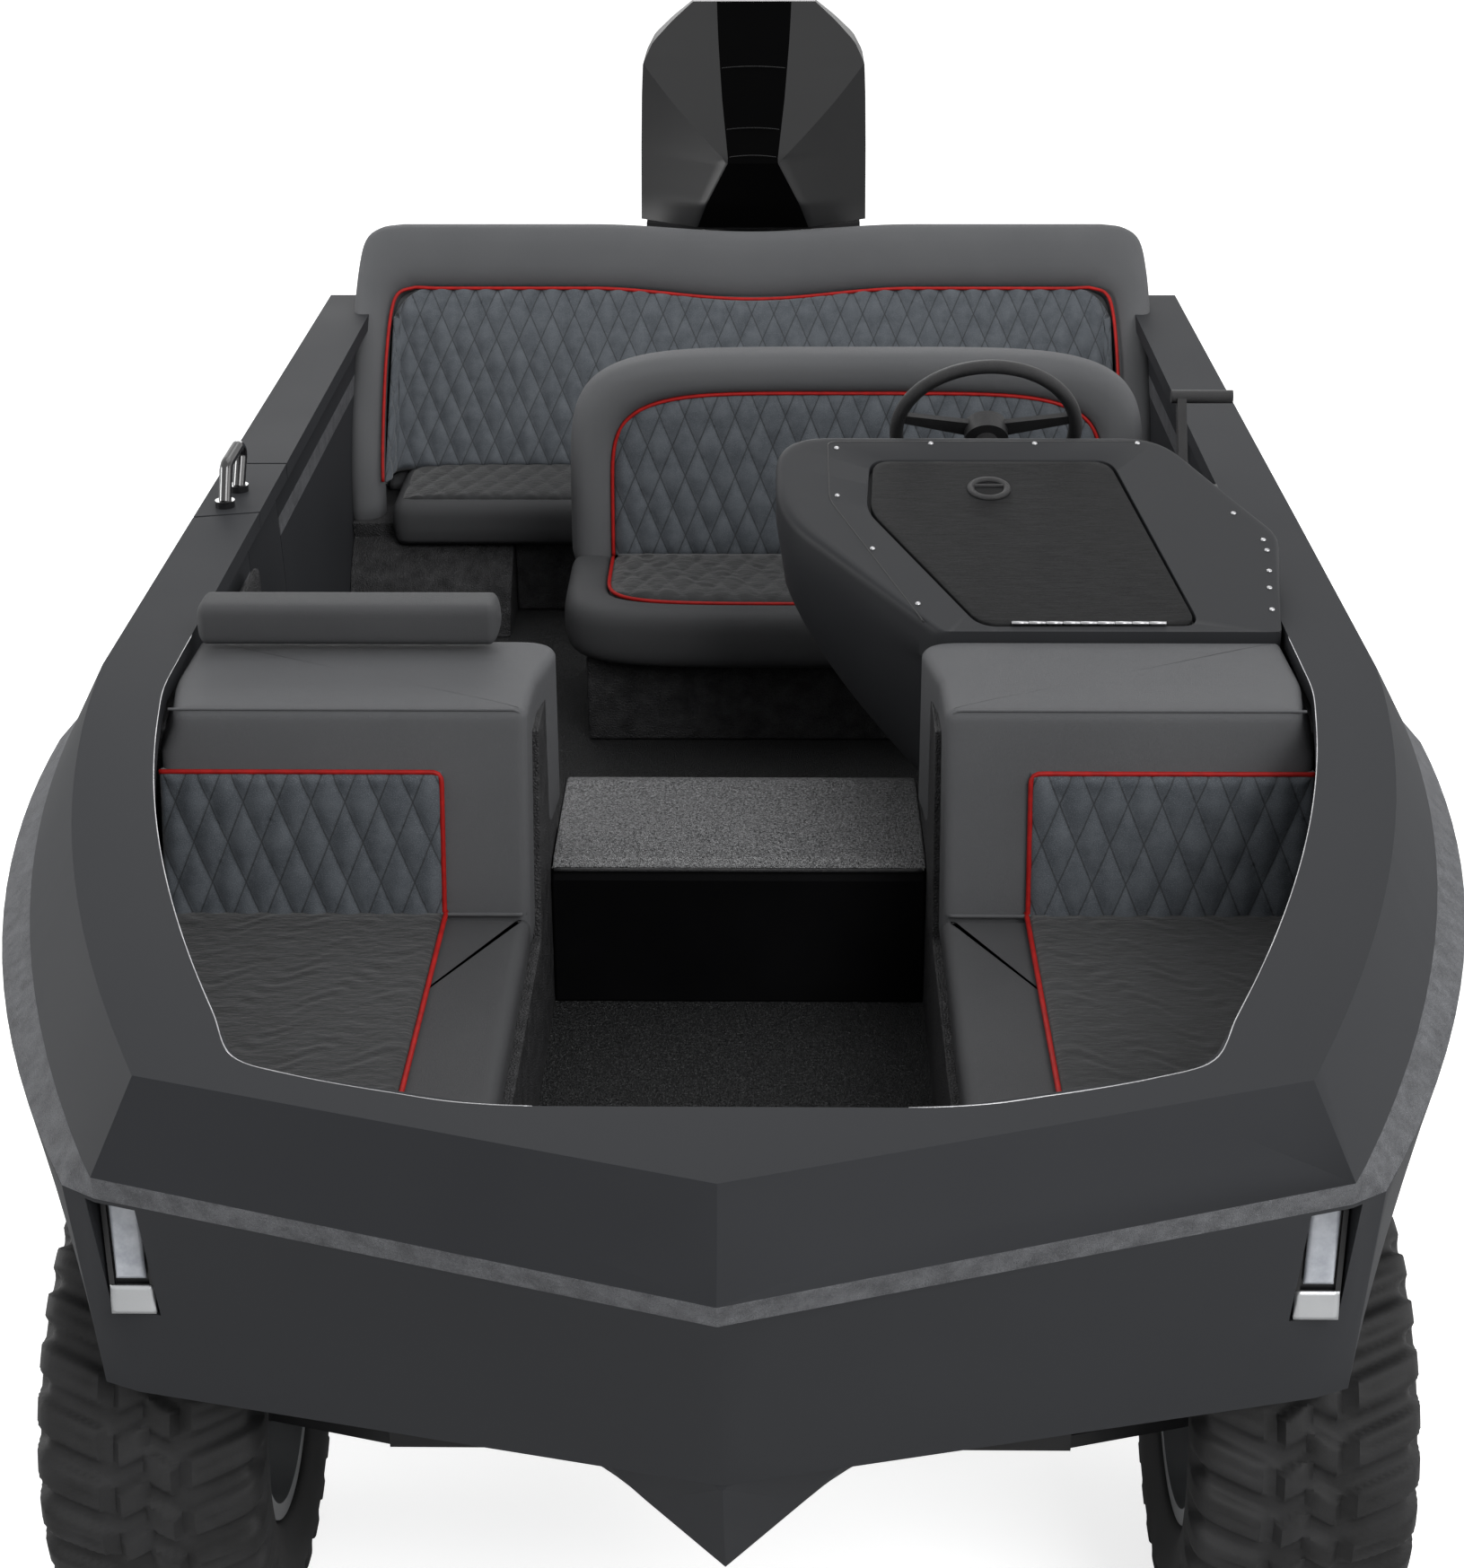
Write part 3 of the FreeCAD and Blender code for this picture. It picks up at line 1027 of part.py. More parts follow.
# Cowl: level sections, bottom to top.
# Columns: share of the cowl's height, half width and y of the front strip's edge,
# half width and y of the shoulder, half width of the tail and its y.
COWL = (
    (0.0, 128, 30, 1.00, 80, 0.80, -60),
    (0.08, 120, 12, 1.00, 70, 0.84, -10),
    (0.33, 56, 0, 1.00, 150, 0.86, 0),
    (0.59, 72, 140, 0.99, 220, 0.84, -4),
    (0.83, 84, 270, 0.88, 300, 0.72, -14),
    (1.0, 88, 380, 0.48, 385, 0.44, -40),
)
cowl_low = tilt_z + d.cowlGap
cowl_front = tilt_y - d.cowlAhead
cowl_tail = cowl_front + d.cowlLength


def cowl_section(row, grow=0):
    share, strip, strip_y, shoulder, shoulder_y, tail, tail_y = row
    wide = d.cowlHalfWidth
    half = [(strip + grow, cowl_front + strip_y - grow),
            (wide * shoulder + grow, cowl_front + shoulder_y),
            (wide * shoulder + grow, cowl_front + max(shoulder_y + 20, 400)),
            (wide * tail * 0.7 + grow, cowl_tail + tail_y + grow)]
    points = half + [(-x, y) for x, y in half[::-1]]
    return at_height([Vector(x, y, 0) for x, y in points], cowl_low + share * d.cowlHeight)


# The pan under the cowl closes it above the tilt tube.
pan_rings = [at_height(cowl_section(COWL[0], grow), height) for grow, height in (
    (-36, tilt_z + 32), (-14, tilt_z + 42), (-14, cowl_low - d.padGap))]
cowl_pan = cut("cowl_pan", computed("pan_block", polyhedron(pan_rings)), motor_leg)
motor_cowl = computed("motor_cowl", polyhedron([cowl_section(row) for row in COWL]))

# Propeller: hub and three raked blades.
BLADES = 3
hub = Part.makeCylinder(38, 84, Vector(0, -38, 0), Vector(0, 1, 0))
bore = Part.makeCylinder(d.shaftRadius + 0.05, 200, Vector(0, -80, 0), Vector(0, 1, 0))
# Columns: share of the propeller's radius, blade's half chord, pitch angle in degrees.
BLADE_ROWS = ((0.18, 34, 62), (0.45, 62, 44), (0.75, 66, 31), (0.93, 44, 26), (1.0, 16, 24))


def blade_section(row):
    share, chord, pitch = row
    turn = Rotation(Vector(0, 0, 1), pitch)
    corners = ((-chord, 0), (-chord * 0.3, 4), (chord, 0), (-chord * 0.3, -4))
    reach = math.sqrt(max((share * d.propRadius) ** 2 - (chord * 0.5) ** 2, 0))
    return polygon([turn.multVec(Vector(x, y, 0)) + Vector(0, 4, reach) for x, y in corners])


blade = Part.makeLoft([blade_section(row) for row in BLADE_ROWS], True, True)
blades = []
for index in range(BLADES):
    copy = blade.copy()
    copy.rotate(Vector(), Vector(0, 1, 0), 360 * index / BLADES)
    blades.append(copy)
prop_shape = hub.multiFuse(blades).cut(bore)
propeller = computed("propeller", prop_shape,
                     Placement(Vector(0, prop_y, d.propHeight), Rotation()))

NODES = {
    item.Name: item for item in (
        hull_bottom, bow_panel, side_left, side_right, transom, rub_band, deck_ring,
        cockpit_floor, bow_seat_left, bow_seat_right, bow_cushion_left, bow_cushion_right,
        bow_back_left, bow_back_right, cap_roll, step_box, bench_base, driver_cushion,
        driver_back, rear_base, wheel_boxes, rear_cushion, rear_back, power_pack, console, console_hatch,
        steering_wheel, throttle, pedal, boarding_door, door_hinge, grab_handle, head_lamps,
        front_arms, rear_axle, knuckle_left, knuckle_right, motor_bracket, swivel_bracket,
        motor_leg, cowl_pan, motor_cowl, propeller)
}
NODES.update(wheel_nodes)

doc.recompute()
failed = [o.Name for o in doc.Objects if "Invalid" in o.State or "Error" in o.State]
if failed:
    raise RuntimeError("not built: " + ", ".join(failed))
os.makedirs("parts", exist_ok=True)
for name, item in NODES.items():
    item.Label = name
    shape = item.Shape
    if shape.isNull() or not shape.isValid():
        raise RuntimeError(f"{name} has no valid shape")
    shape.exportStep(f"parts/{name}.step")
    box_mm = shape.BoundBox
    print(f"{name:20s} solids {len(shape.Solids)}  litres {shape.Volume / 1e6:8.2f}  "
          f"x {box_mm.XMin:7.0f} {box_mm.XMax:7.0f}  y {box_mm.YMin:7.0f} {box_mm.YMax:7.0f}  "
          f"z {box_mm.ZMin:6.0f} {box_mm.ZMax:6.0f}")
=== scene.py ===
import json
from math import radians

import bmesh
import bpy
import numpy as np
from mathutils import Matrix, Vector

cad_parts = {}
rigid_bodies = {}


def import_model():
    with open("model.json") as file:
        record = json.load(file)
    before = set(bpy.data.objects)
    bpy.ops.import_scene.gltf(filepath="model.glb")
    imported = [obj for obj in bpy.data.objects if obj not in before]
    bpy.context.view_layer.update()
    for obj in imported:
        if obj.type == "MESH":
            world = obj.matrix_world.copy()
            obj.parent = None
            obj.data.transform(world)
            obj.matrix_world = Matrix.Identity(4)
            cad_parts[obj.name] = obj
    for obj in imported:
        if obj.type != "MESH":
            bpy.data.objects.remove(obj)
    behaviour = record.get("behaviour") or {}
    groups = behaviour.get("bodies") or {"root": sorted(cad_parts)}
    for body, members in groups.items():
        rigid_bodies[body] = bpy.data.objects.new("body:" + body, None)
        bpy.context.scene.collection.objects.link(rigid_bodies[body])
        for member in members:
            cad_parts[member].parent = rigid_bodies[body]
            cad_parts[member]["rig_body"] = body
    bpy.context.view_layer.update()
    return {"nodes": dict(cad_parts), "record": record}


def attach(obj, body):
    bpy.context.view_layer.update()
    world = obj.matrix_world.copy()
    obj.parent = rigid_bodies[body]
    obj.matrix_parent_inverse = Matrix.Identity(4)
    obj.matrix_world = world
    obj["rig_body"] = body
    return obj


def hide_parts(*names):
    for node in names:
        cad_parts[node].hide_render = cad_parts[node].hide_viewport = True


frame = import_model()
nodes = frame["nodes"]

# Studio: the photo's view, a pale floor and soft lamps
studio = {
    "eye": (0.06, -4.51, 2.489),
    "pitch": 24.21,              # degrees below the horizon
    "turn": 0.81,                # degrees towards the vehicle's right
    "roll": -0.18,
    "focalPixels": 3000.0,
    "picture": (1631, 1747),
    "centre": (827.5, 869.5),    # the optical axis in the picture
    "world": 0.60,
    "floorColour": (0.80, 0.80, 0.80),
    "floorLift": 0.75,           # what the camera sees on top of the floor's own colour
}


def makeCamera():
    camera = bpy.data.objects.new("camera", bpy.data.cameras.new("camera"))
    bpy.context.scene.collection.objects.link(camera)
    wide, tall = studio["picture"]
    turn = Matrix.Rotation(radians(studio["turn"]), 4, "Z")
    tip = Matrix.Rotation(radians(90 - studio["pitch"]), 4, "X")
    roll = Matrix.Rotation(radians(studio["roll"]), 4, "Z")
    camera.matrix_world = Matrix.Translation(studio["eye"]) @ turn @ tip @ roll
    camera.data.sensor_width = 36
    camera.data.lens = studio["focalPixels"] / tall * 36
    camera.data.shift_x = (wide / 2 - studio["centre"][0]) / tall
    camera.data.shift_y = (studio["centre"][1] - tall / 2) / tall
    camera.data.clip_end = 200
    bpy.context.scene.camera = camera


def areaLamp(name, place, target, size, power):
    lamp = bpy.data.objects.new(name, bpy.data.lights.new(name, "AREA"))
    bpy.context.scene.collection.objects.link(lamp)
    lamp.data.shape = "RECTANGLE"
    lamp.data.size, lamp.data.size_y = size
    lamp.data.energy = power
    lamp.location = place
    lamp.rotation_euler = (Vector(target) - Vector(place)).to_track_quat("-Z", "Y").to_euler()


lamps = (
    # name, place, aim, size, watts
    ("key", (4.2, -8.0, 7.6), (0.0, 0.0, 0.6), (5.0, 5.0), 560),
    ("overhead", (0.6, 1.6, 5.0), (0.1, 0.6, 0.6), (4.0, 4.0), 55),
    ("leftSide", (4.8, -1.2, 2.4), (0.0, -0.4, 0.6), (3.0, 3.0), 60),
    ("rightSide", (-4.7, -0.2, 1.6), (0.0, 1.4, 1.2), (1.6, 1.4), 85),
    ("behind", (-0.6, 5.4, 3.0), (0.0, 0.6, 0.9), (3.6, 1.6), 60),
)


def makeStudio():
    makeCamera()
    for row in lamps:
        areaLamp(*row)
    scene = bpy.context.scene
    scene.view_settings.view_transform = "Standard"
    world = bpy.data.worlds.new("studio")
    world.use_nodes = True
    scene.world = world
    tree = world.node_tree
    back = tree.nodes["Background"]
    path = tree.nodes.new("ShaderNodeLightPath")
    seen = tree.nodes.new("ShaderNodeMath")
    seen.operation = "MAXIMUM"
    glass = tree.nodes.new("ShaderNodeMath")
    glass.operation = "MAXIMUM"
    strength = tree.nodes.new("ShaderNodeMapRange")
    tree.links.new(path.outputs["Is Camera Ray"], seen.inputs[0])
    tree.links.new(path.outputs["Is Glossy Ray"], glass.inputs[0])
    tree.links.new(path.outputs["Is Transmission Ray"], glass.inputs[1])
    tree.links.new(glass.outputs[0], seen.inputs[1])
    tree.links.new(seen.outputs[0], strength.inputs["Value"])
    strength.inputs["To Min"].default_value = studio["world"]
    strength.inputs["To Max"].default_value = 1.0
    back.inputs["Color"].default_value = (1, 1, 1, 1)
    tree.links.new(strength.outputs[0], back.inputs["Strength"])

    bpy.ops.mesh.primitive_plane_add(size=80)
    floor = bpy.context.object
    floor.name = "studioFloor"
    material = bpy.data.materials.new("studioFloor")
    material.use_nodes = True
    tree = material.node_tree
    tree.nodes.clear()
    out = tree.nodes.new("ShaderNodeOutputMaterial")
    both = tree.nodes.new("ShaderNodeAddShader")
    flat = tree.nodes.new("ShaderNodeBsdfDiffuse")
    lift = tree.nodes.new("ShaderNodeEmission")
    path = tree.nodes.new("ShaderNodeLightPath")
    amount = tree.nodes.new("ShaderNodeMath")
    amount.operation = "MULTIPLY"
    amount.inputs[1].default_value = studio["floorLift"]
    flat.inputs["Color"].default_value = (*studio["floorColour"], 1)
    tree.links.new(path.outputs["Is Camera Ray"], amount.inputs[0])
    tree.links.new(amount.outputs[0], lift.inputs["Strength"])
    tree.links.new(flat.outputs[0], both.inputs[0])
    tree.links.new(lift.outputs[0], both.inputs[1])
    tree.links.new(both.outputs[0], out.inputs["Surface"])
    floor.data.materials.append(material)
    print("studio ready")


# Shader groups, each built once and placed in the materials with its own values
def newGroup(name, inputs, outputs):
    group = bpy.data.node_groups.new(name, "ShaderNodeTree")
    for label, kind, value in inputs:
        socket = group.interface.new_socket(label, in_out="INPUT", socket_type=kind)
        if value is not None:
            socket.default_value = value
    for label, kind in outputs:
        group.interface.new_socket(label, in_out="OUTPUT", socket_type=kind)
    return group, group.nodes.new("NodeGroupInput"), group.nodes.new("NodeGroupOutput")


def math(tree, operation, first, second=None, third=None, clamp=False):
    node = tree.nodes.new("ShaderNodeMath")
    node.operation = operation
    node.use_clamp = clamp
    for index, value in enumerate((first, second, third)):
        if value is None:
            continue
        if isinstance(value, (int, float)):
            node.inputs[index].default_value = value
        else:
            tree.links.new(value, node.inputs[index])
    return node.outputs[0]


def noise(tree, vector, scale, detail=4.0, roughness=0.6):
    node = tree.nodes.new("ShaderNodeTexNoise")
    node.inputs["Detail"].default_value = detail
    node.inputs["Roughness"].default_value = roughness
    if isinstance(scale, (int, float)):
        node.inputs["Scale"].default_value = scale
    else:
        tree.links.new(scale, node.inputs["Scale"])
    tree.links.new(vector, node.inputs["Vector"])
    return node.outputs["Fac"]


def mixColour(tree, amount, first, second):
    node = tree.nodes.new("ShaderNodeMix")
    node.data_type = "RGBA"
    node.clamp_factor = True
    tree.links.new(amount, node.inputs["Factor"])
    for socket, value in ((node.inputs[6], first), (node.inputs[7], second)):
        if isinstance(value, tuple):
            socket.default_value = value
        else:
            tree.links.new(value, socket)
    return node.outputs[2]


def buildGroups():
    # grainField: colour wanders between two tones in soft clouds, with fine grain over it
    group, given, out = newGroup("grainField", (
        ("Vector", "NodeSocketVector", None),
        ("Tone A", "NodeSocketColor", (0.1, 0.1, 0.1, 1)),
        ("Tone B", "NodeSocketColor", (0.1, 0.1, 0.1, 1)),
        ("Cloud Scale", "NodeSocketFloat", 4.0),
        ("Grain Scale", "NodeSocketFloat", 900.0),
        ("Grain Amount", "NodeSocketFloat", 0.3)),
        (("Color", "NodeSocketColor"), ("Height", "NodeSocketFloat"),
         ("Mask", "NodeSocketFloat")))
    cloud = noise(group, given.outputs["Vector"], given.outputs["Cloud Scale"], 3.0)
    grain = noise(group, given.outputs["Vector"], given.outputs["Grain Scale"], 2.0, 0.7)
    centred = math(group, "SUBTRACT", grain, 0.5)
    push = math(group, "MULTIPLY", centred, given.outputs["Grain Amount"])
    spread = math(group, "MULTIPLY_ADD", cloud, 2.4, -0.7, clamp=True)
    share = math(group, "ADD", spread, push, clamp=True)
    group.links.new(mixColour(group, share, given.outputs["Tone A"], given.outputs["Tone B"]),
                    out.inputs["Color"])
    group.links.new(grain, out.inputs["Height"])
    group.links.new(share, out.inputs["Mask"])

    # pebbleGrain: moulded or rolled-in grain of small cells with creases between them
    group, given, out = newGroup("pebbleGrain", (
        ("Vector", "NodeSocketVector", None),
        ("Scale", "NodeSocketFloat", 500.0),
        ("Wander", "NodeSocketFloat", 0.002)),
        (("Height", "NodeSocketFloat"),))
    wobble = group.nodes.new("ShaderNodeTexNoise")
    wobble.inputs["Scale"].default_value = 220
    group.links.new(given.outputs["Vector"], wobble.inputs["Vector"])
    shift = group.nodes.new("ShaderNodeVectorMath")
    shift.operation = "MULTIPLY_ADD"
    group.links.new(wobble.outputs["Color"], shift.inputs[0])
    group.links.new(given.outputs["Wander"], shift.inputs[1])
    group.links.new(given.outputs["Vector"], shift.inputs[2])
    cells = group.nodes.new("ShaderNodeTexVoronoi")
    cells.feature = "DISTANCE_TO_EDGE"
    group.links.new(shift.outputs[0], cells.inputs["Vector"])
    group.links.new(given.outputs["Scale"], cells.inputs["Scale"])
    raised = math(group, "MULTIPLY", cells.outputs["Distance"], 3.0, clamp=True)
    group.links.new(raised, out.inputs["Height"])

    # diamondSeams: 1 in the sewn valleys of the diamond quilting, from the piece's own UV in metres
    group, given, out = newGroup("diamondSeams", (
        ("Vector", "NodeSocketVector", None),
        ("Width", "NodeSocketFloat", 0.049),
        ("Height", "NodeSocketFloat", 0.116),
        ("Seam", "NodeSocketFloat", 0.04)),
        (("Mask", "NodeSocketFloat"), ("Puff", "NodeSocketFloat")))
    split = group.nodes.new("ShaderNodeSeparateXYZ")
    group.links.new(given.outputs["Vector"], split.inputs[0])
    across = math(group, "DIVIDE", split.outputs["X"], given.outputs["Width"])
    along = math(group, "DIVIDE", split.outputs["Y"], given.outputs["Height"])
    gaps = []
    for operation in ("ADD", "SUBTRACT"):
        line = math(group, operation, across, along)
        fold = math(group, "PINGPONG", line, 0.5)
        gaps.append(fold)
    nearest = math(group, "MINIMUM", *gaps)
    group.links.new(math(group, "MULTIPLY", nearest, 2.0, clamp=True), out.inputs["Puff"])
    shut = math(group, "DIVIDE", nearest, given.outputs["Seam"], clamp=True)
    group.links.new(math(group, "SUBTRACT", 1.0, shut), out.inputs["Mask"])
    print("shader groups ready")


def startMaterial(name, rough, metal=0.0, **sockets):
    material = bpy.data.materials.new(name)
    material.use_nodes = True
    shader = material.node_tree.nodes["Principled BSDF"]
    shader.inputs["Roughness"].default_value = rough
    shader.inputs["Metallic"].default_value = metal
    for label, value in sockets.items():
        shader.inputs[label.replace("_", " ")].default_value = value
    return material, material.node_tree, shader


def coordinates(tree, stretch=(1, 1, 1), source="Object"):
    texture = tree.nodes.new("ShaderNodeTexCoord")
    mapping = tree.nodes.new("ShaderNodeMapping")
    mapping.inputs["Scale"].default_value = stretch
    tree.links.new(texture.outputs[source], mapping.inputs["Vector"])
    return mapping.outputs["Vector"]


def useGroup(tree, name, vector, **values):
    node = tree.nodes.new("ShaderNodeGroup")
    node.node_tree = bpy.data.node_groups[name]
    tree.links.new(vector, node.inputs["Vector"])
    for label, value in values.items():
        node.inputs[label.replace("_", " ")].default_value = value
    return node


def addBump(tree, shader, height, distance, strength=1.0):
    bump = tree.nodes.new("ShaderNodeBump")
    bump.inputs["Distance"].default_value = distance
    bump.inputs["Strength"].default_value = strength
    tree.links.new(height, bump.inputs["Height"])
    tree.links.new(bump.outputs["Normal"], shader.inputs["Normal"])
    return bump


def grainyMaterial(name, look):
    # two tones in soft clouds, fine grain in colour, bump and roughness
    material, tree, shader = startMaterial(name, look["rough"], look.get("metal", 0.0),
                                           **look.get("sockets", {}))
    vector = coordinates(tree, look.get("stretch", (1, 1, 1)))
    dark, light = look["tones"]
    field = useGroup(tree, "grainField", vector, Tone_A=(*dark, 1), Tone_B=(*light, 1),
                     Cloud_Scale=look["cloud"], Grain_Scale=look["grain"],
                     Grain_Amount=look["speckle"])
    tree.links.new(field.outputs["Color"], shader.inputs["Base Color"])
    low, high = look["rough"] - look.get("roughSpread", 0.05), look["rough"] + look.get("roughSpread", 0.05)
    spread = tree.nodes.new("ShaderNodeMapRange")
    spread.inputs["To Min"].default_value = low
    spread.inputs["To Max"].default_value = high
    tree.links.new(field.outputs["Mask"], spread.inputs["Value"])
    tree.links.new(spread.outputs[0], shader.inputs["Roughness"])
    height = field.outputs["Height"]
    if "pebble" in look:
        pebble = useGroup(tree, "pebbleGrain", vector, Scale=look["pebble"])
        height = math(tree, "MULTIPLY_ADD", pebble.outputs["Height"], 2.0, height)
    addBump(tree, shader, height, look["bump"])
    return material


# Finishes. Tones are linear colours; bump is in metres.
looks = {
    "hullPaint": {"tones": ((0.0255, 0.0266, 0.0295), (0.0315, 0.0328, 0.0360)), "cloud": 1.3,
                  "grain": 1400, "speckle": 0.5, "rough": 0.60, "bump": 0.00006,
                  "sockets": {"Specular_IOR_Level": 0.08}},
    "bandGrit": {"tones": ((0.078, 0.080, 0.086), (0.152, 0.156, 0.166)), "cloud": 40,
                 "grain": 420, "speckle": 1.6, "rough": 0.55, "bump": 0.0005, "pebble": 420,
                  "sockets": {"Specular_IOR_Level": 0.15}},
    "seatVinyl": {"tones": ((0.096, 0.098, 0.103), (0.112, 0.114, 0.119)), "cloud": 3.0,
                  "grain": 1100, "speckle": 0.45, "rough": 0.56, "bump": 0.00016, "pebble": 760,
                  "sockets": {"Specular_IOR_Level": 0.12}},
    # darker copy of the seat vinyl: painted shade on the cushions and the cap roll
    "shadedVinyl": {"tones": ((0.060, 0.061, 0.064), (0.072, 0.073, 0.076)), "cloud": 3.0,
                     "grain": 1100, "speckle": 0.45, "rough": 0.56, "bump": 0.00016, "pebble": 760,
                     "sockets": {"Specular_IOR_Level": 0.12}},
    "stepDark": {"tones": ((0.0022, 0.0022, 0.0025), (0.0045, 0.0045, 0.005)), "cloud": 3,
                 "grain": 800, "speckle": 0.5, "rough": 0.5, "bump": 0.0001,
                 "sockets": {"Specular_IOR_Level": 0.05}},
    "floorGrit": {"tones": ((0.002, 0.002, 0.0025), (0.040, 0.041, 0.042)), "cloud": 200,
                  "grain": 330, "speckle": 2.8, "rough": 0.5, "bump": 0.0014, "pebble": 260,
                  "sockets": {"Specular_IOR_Level": 0.30}},
    # step's grit: black grit whose pale flecks are partly real grit and partly painted glints of light
    "stepGritAndGlints": {"tones": ((0.012, 0.012, 0.013), (0.300, 0.303, 0.310)), "cloud": 240,
                 "grain": 380, "speckle": 2.8, "rough": 0.36, "bump": 0.0011, "pebble": 330},
    "baseBlack": {"tones": ((0.022, 0.022, 0.023), (0.052, 0.052, 0.054)), "cloud": 30,
                  "grain": 500, "speckle": 0.9, "rough": 0.5, "bump": 0.0008, "pebble": 210,
                  "sockets": {"Specular_IOR_Level": 0.15}},
    "consoleShell": {"tones": ((0.0235, 0.0245, 0.0268), (0.0290, 0.0300, 0.0325)), "cloud": 2.0,
                     "grain": 1200, "speckle": 0.4, "rough": 0.50, "bump": 0.00008,
                  "sockets": {"Specular_IOR_Level": 0.12}},
    "hatchBrushed": {"tones": ((0.004, 0.004, 0.0045), (0.018, 0.0185, 0.019)), "cloud": 24,
                     "grain": 110, "speckle": 1.6, "rough": 0.50, "bump": 0.0004,
                     "stretch": (1, 12, 12),
                  "sockets": {"Specular_IOR_Level": 0.08}},
    "gripBlack": {"tones": ((0.011, 0.011, 0.012), (0.020, 0.020, 0.021)), "cloud": 9,
                  "grain": 900, "speckle": 0.6, "rough": 0.4, "bump": 0.0002, "pebble": 700,
                  "sockets": {"Specular_IOR_Level": 0.35}},
    "tyreRubber": {"tones": ((0.010, 0.010, 0.010), (0.024, 0.024, 0.025)), "cloud": 14,
                   "grain": 500, "speckle": 0.8, "rough": 0.62, "bump": 0.0003,
                  "sockets": {"Specular_IOR_Level": 0.25}},
    "rimSilver": {"tones": ((0.42, 0.43, 0.44), (0.52, 0.53, 0.54)), "cloud": 6, "grain": 900,
                  "speckle": 0.5, "rough": 0.34, "metal": 0.9, "bump": 0.00005},
    "steelParts": {"tones": ((0.34, 0.34, 0.35), (0.50, 0.50, 0.51)), "cloud": 12, "grain": 700,
                   "speckle": 0.9, "rough": 0.32, "metal": 1.0, "bump": 0.00006},
    "chassisBlack": {"tones": ((0.012, 0.012, 0.013), (0.022, 0.022, 0.023)), "cloud": 8,
                     "grain": 700, "speckle": 0.8, "rough": 0.42, "bump": 0.0002,
                  "sockets": {"Specular_IOR_Level": 0.30}},
    "cowlGloss": {"tones": ((0.0085, 0.0087, 0.0092), (0.011, 0.0112, 0.0118)), "cloud": 2,
                  "grain": 1600, "speckle": 0.2, "rough": 0.30, "roughSpread": 0.02,
                  "bump": 0.00002, "sockets": {"Specular_IOR_Level": 0.17}},
    "stripBlack": {"tones": ((0.0008, 0.0008, 0.0009), (0.0014, 0.0014, 0.0015)), "cloud": 3,
                   "grain": 1500, "speckle": 0.3, "rough": 0.70, "bump": 0.00002,
                   "sockets": {"Specular_IOR_Level": 0.01}},
    "motorPaint": {"tones": ((0.013, 0.013, 0.014), (0.020, 0.020, 0.021)), "cloud": 6,
                   "grain": 900, "speckle": 0.5, "rough": 0.34, "bump": 0.00008,
                  "sockets": {"Specular_IOR_Level": 0.30}},
    "propMetal": {"tones": ((0.40, 0.40, 0.41), (0.52, 0.52, 0.53)), "cloud": 8, "grain": 600,
                  "speckle": 0.6, "rough": 0.22, "metal": 1.0, "bump": 0.00005},
    "lampPlastic": {"tones": ((0.008, 0.008, 0.009), (0.015, 0.015, 0.016)), "cloud": 8,
                    "grain": 900, "speckle": 0.5, "rough": 0.35, "bump": 0.0001,
                  "sockets": {"Specular_IOR_Level": 0.35}},
    "handleGloss": {"tones": ((0.006, 0.006, 0.007), (0.010, 0.010, 0.011)), "cloud": 5,
                    "grain": 1500, "speckle": 0.3, "rough": 0.16, "roughSpread": 0.03,
                    "bump": 0.00003, "sockets": {"Coat_Weight": 0.7, "Coat_Roughness": 0.08}},
    "packBlock": {"tones": ((0.05, 0.05, 0.05), (0.07, 0.07, 0.07)), "cloud": 6, "grain": 600,
                  "speckle": 0.5, "rough": 0.5, "bump": 0.0001,
                  "sockets": {"Specular_IOR_Level": 0.30}},
    "rimTrim": {"tones": ((0.20, 0.20, 0.21), (0.42, 0.42, 0.43)), "cloud": 15, "grain": 900,
                "speckle": 0.5, "rough": 0.25, "metal": 1.0, "bump": 0.00003},
    "pipingRed": {"tones": ((0.26, 0.007, 0.006), (0.40, 0.012, 0.010)), "cloud": 60,
                  "grain": 900, "speckle": 0.7, "rough": 0.50, "bump": 0.0002,
                  "sockets": {"Specular_IOR_Level": 0.2}},
}
materials = {}


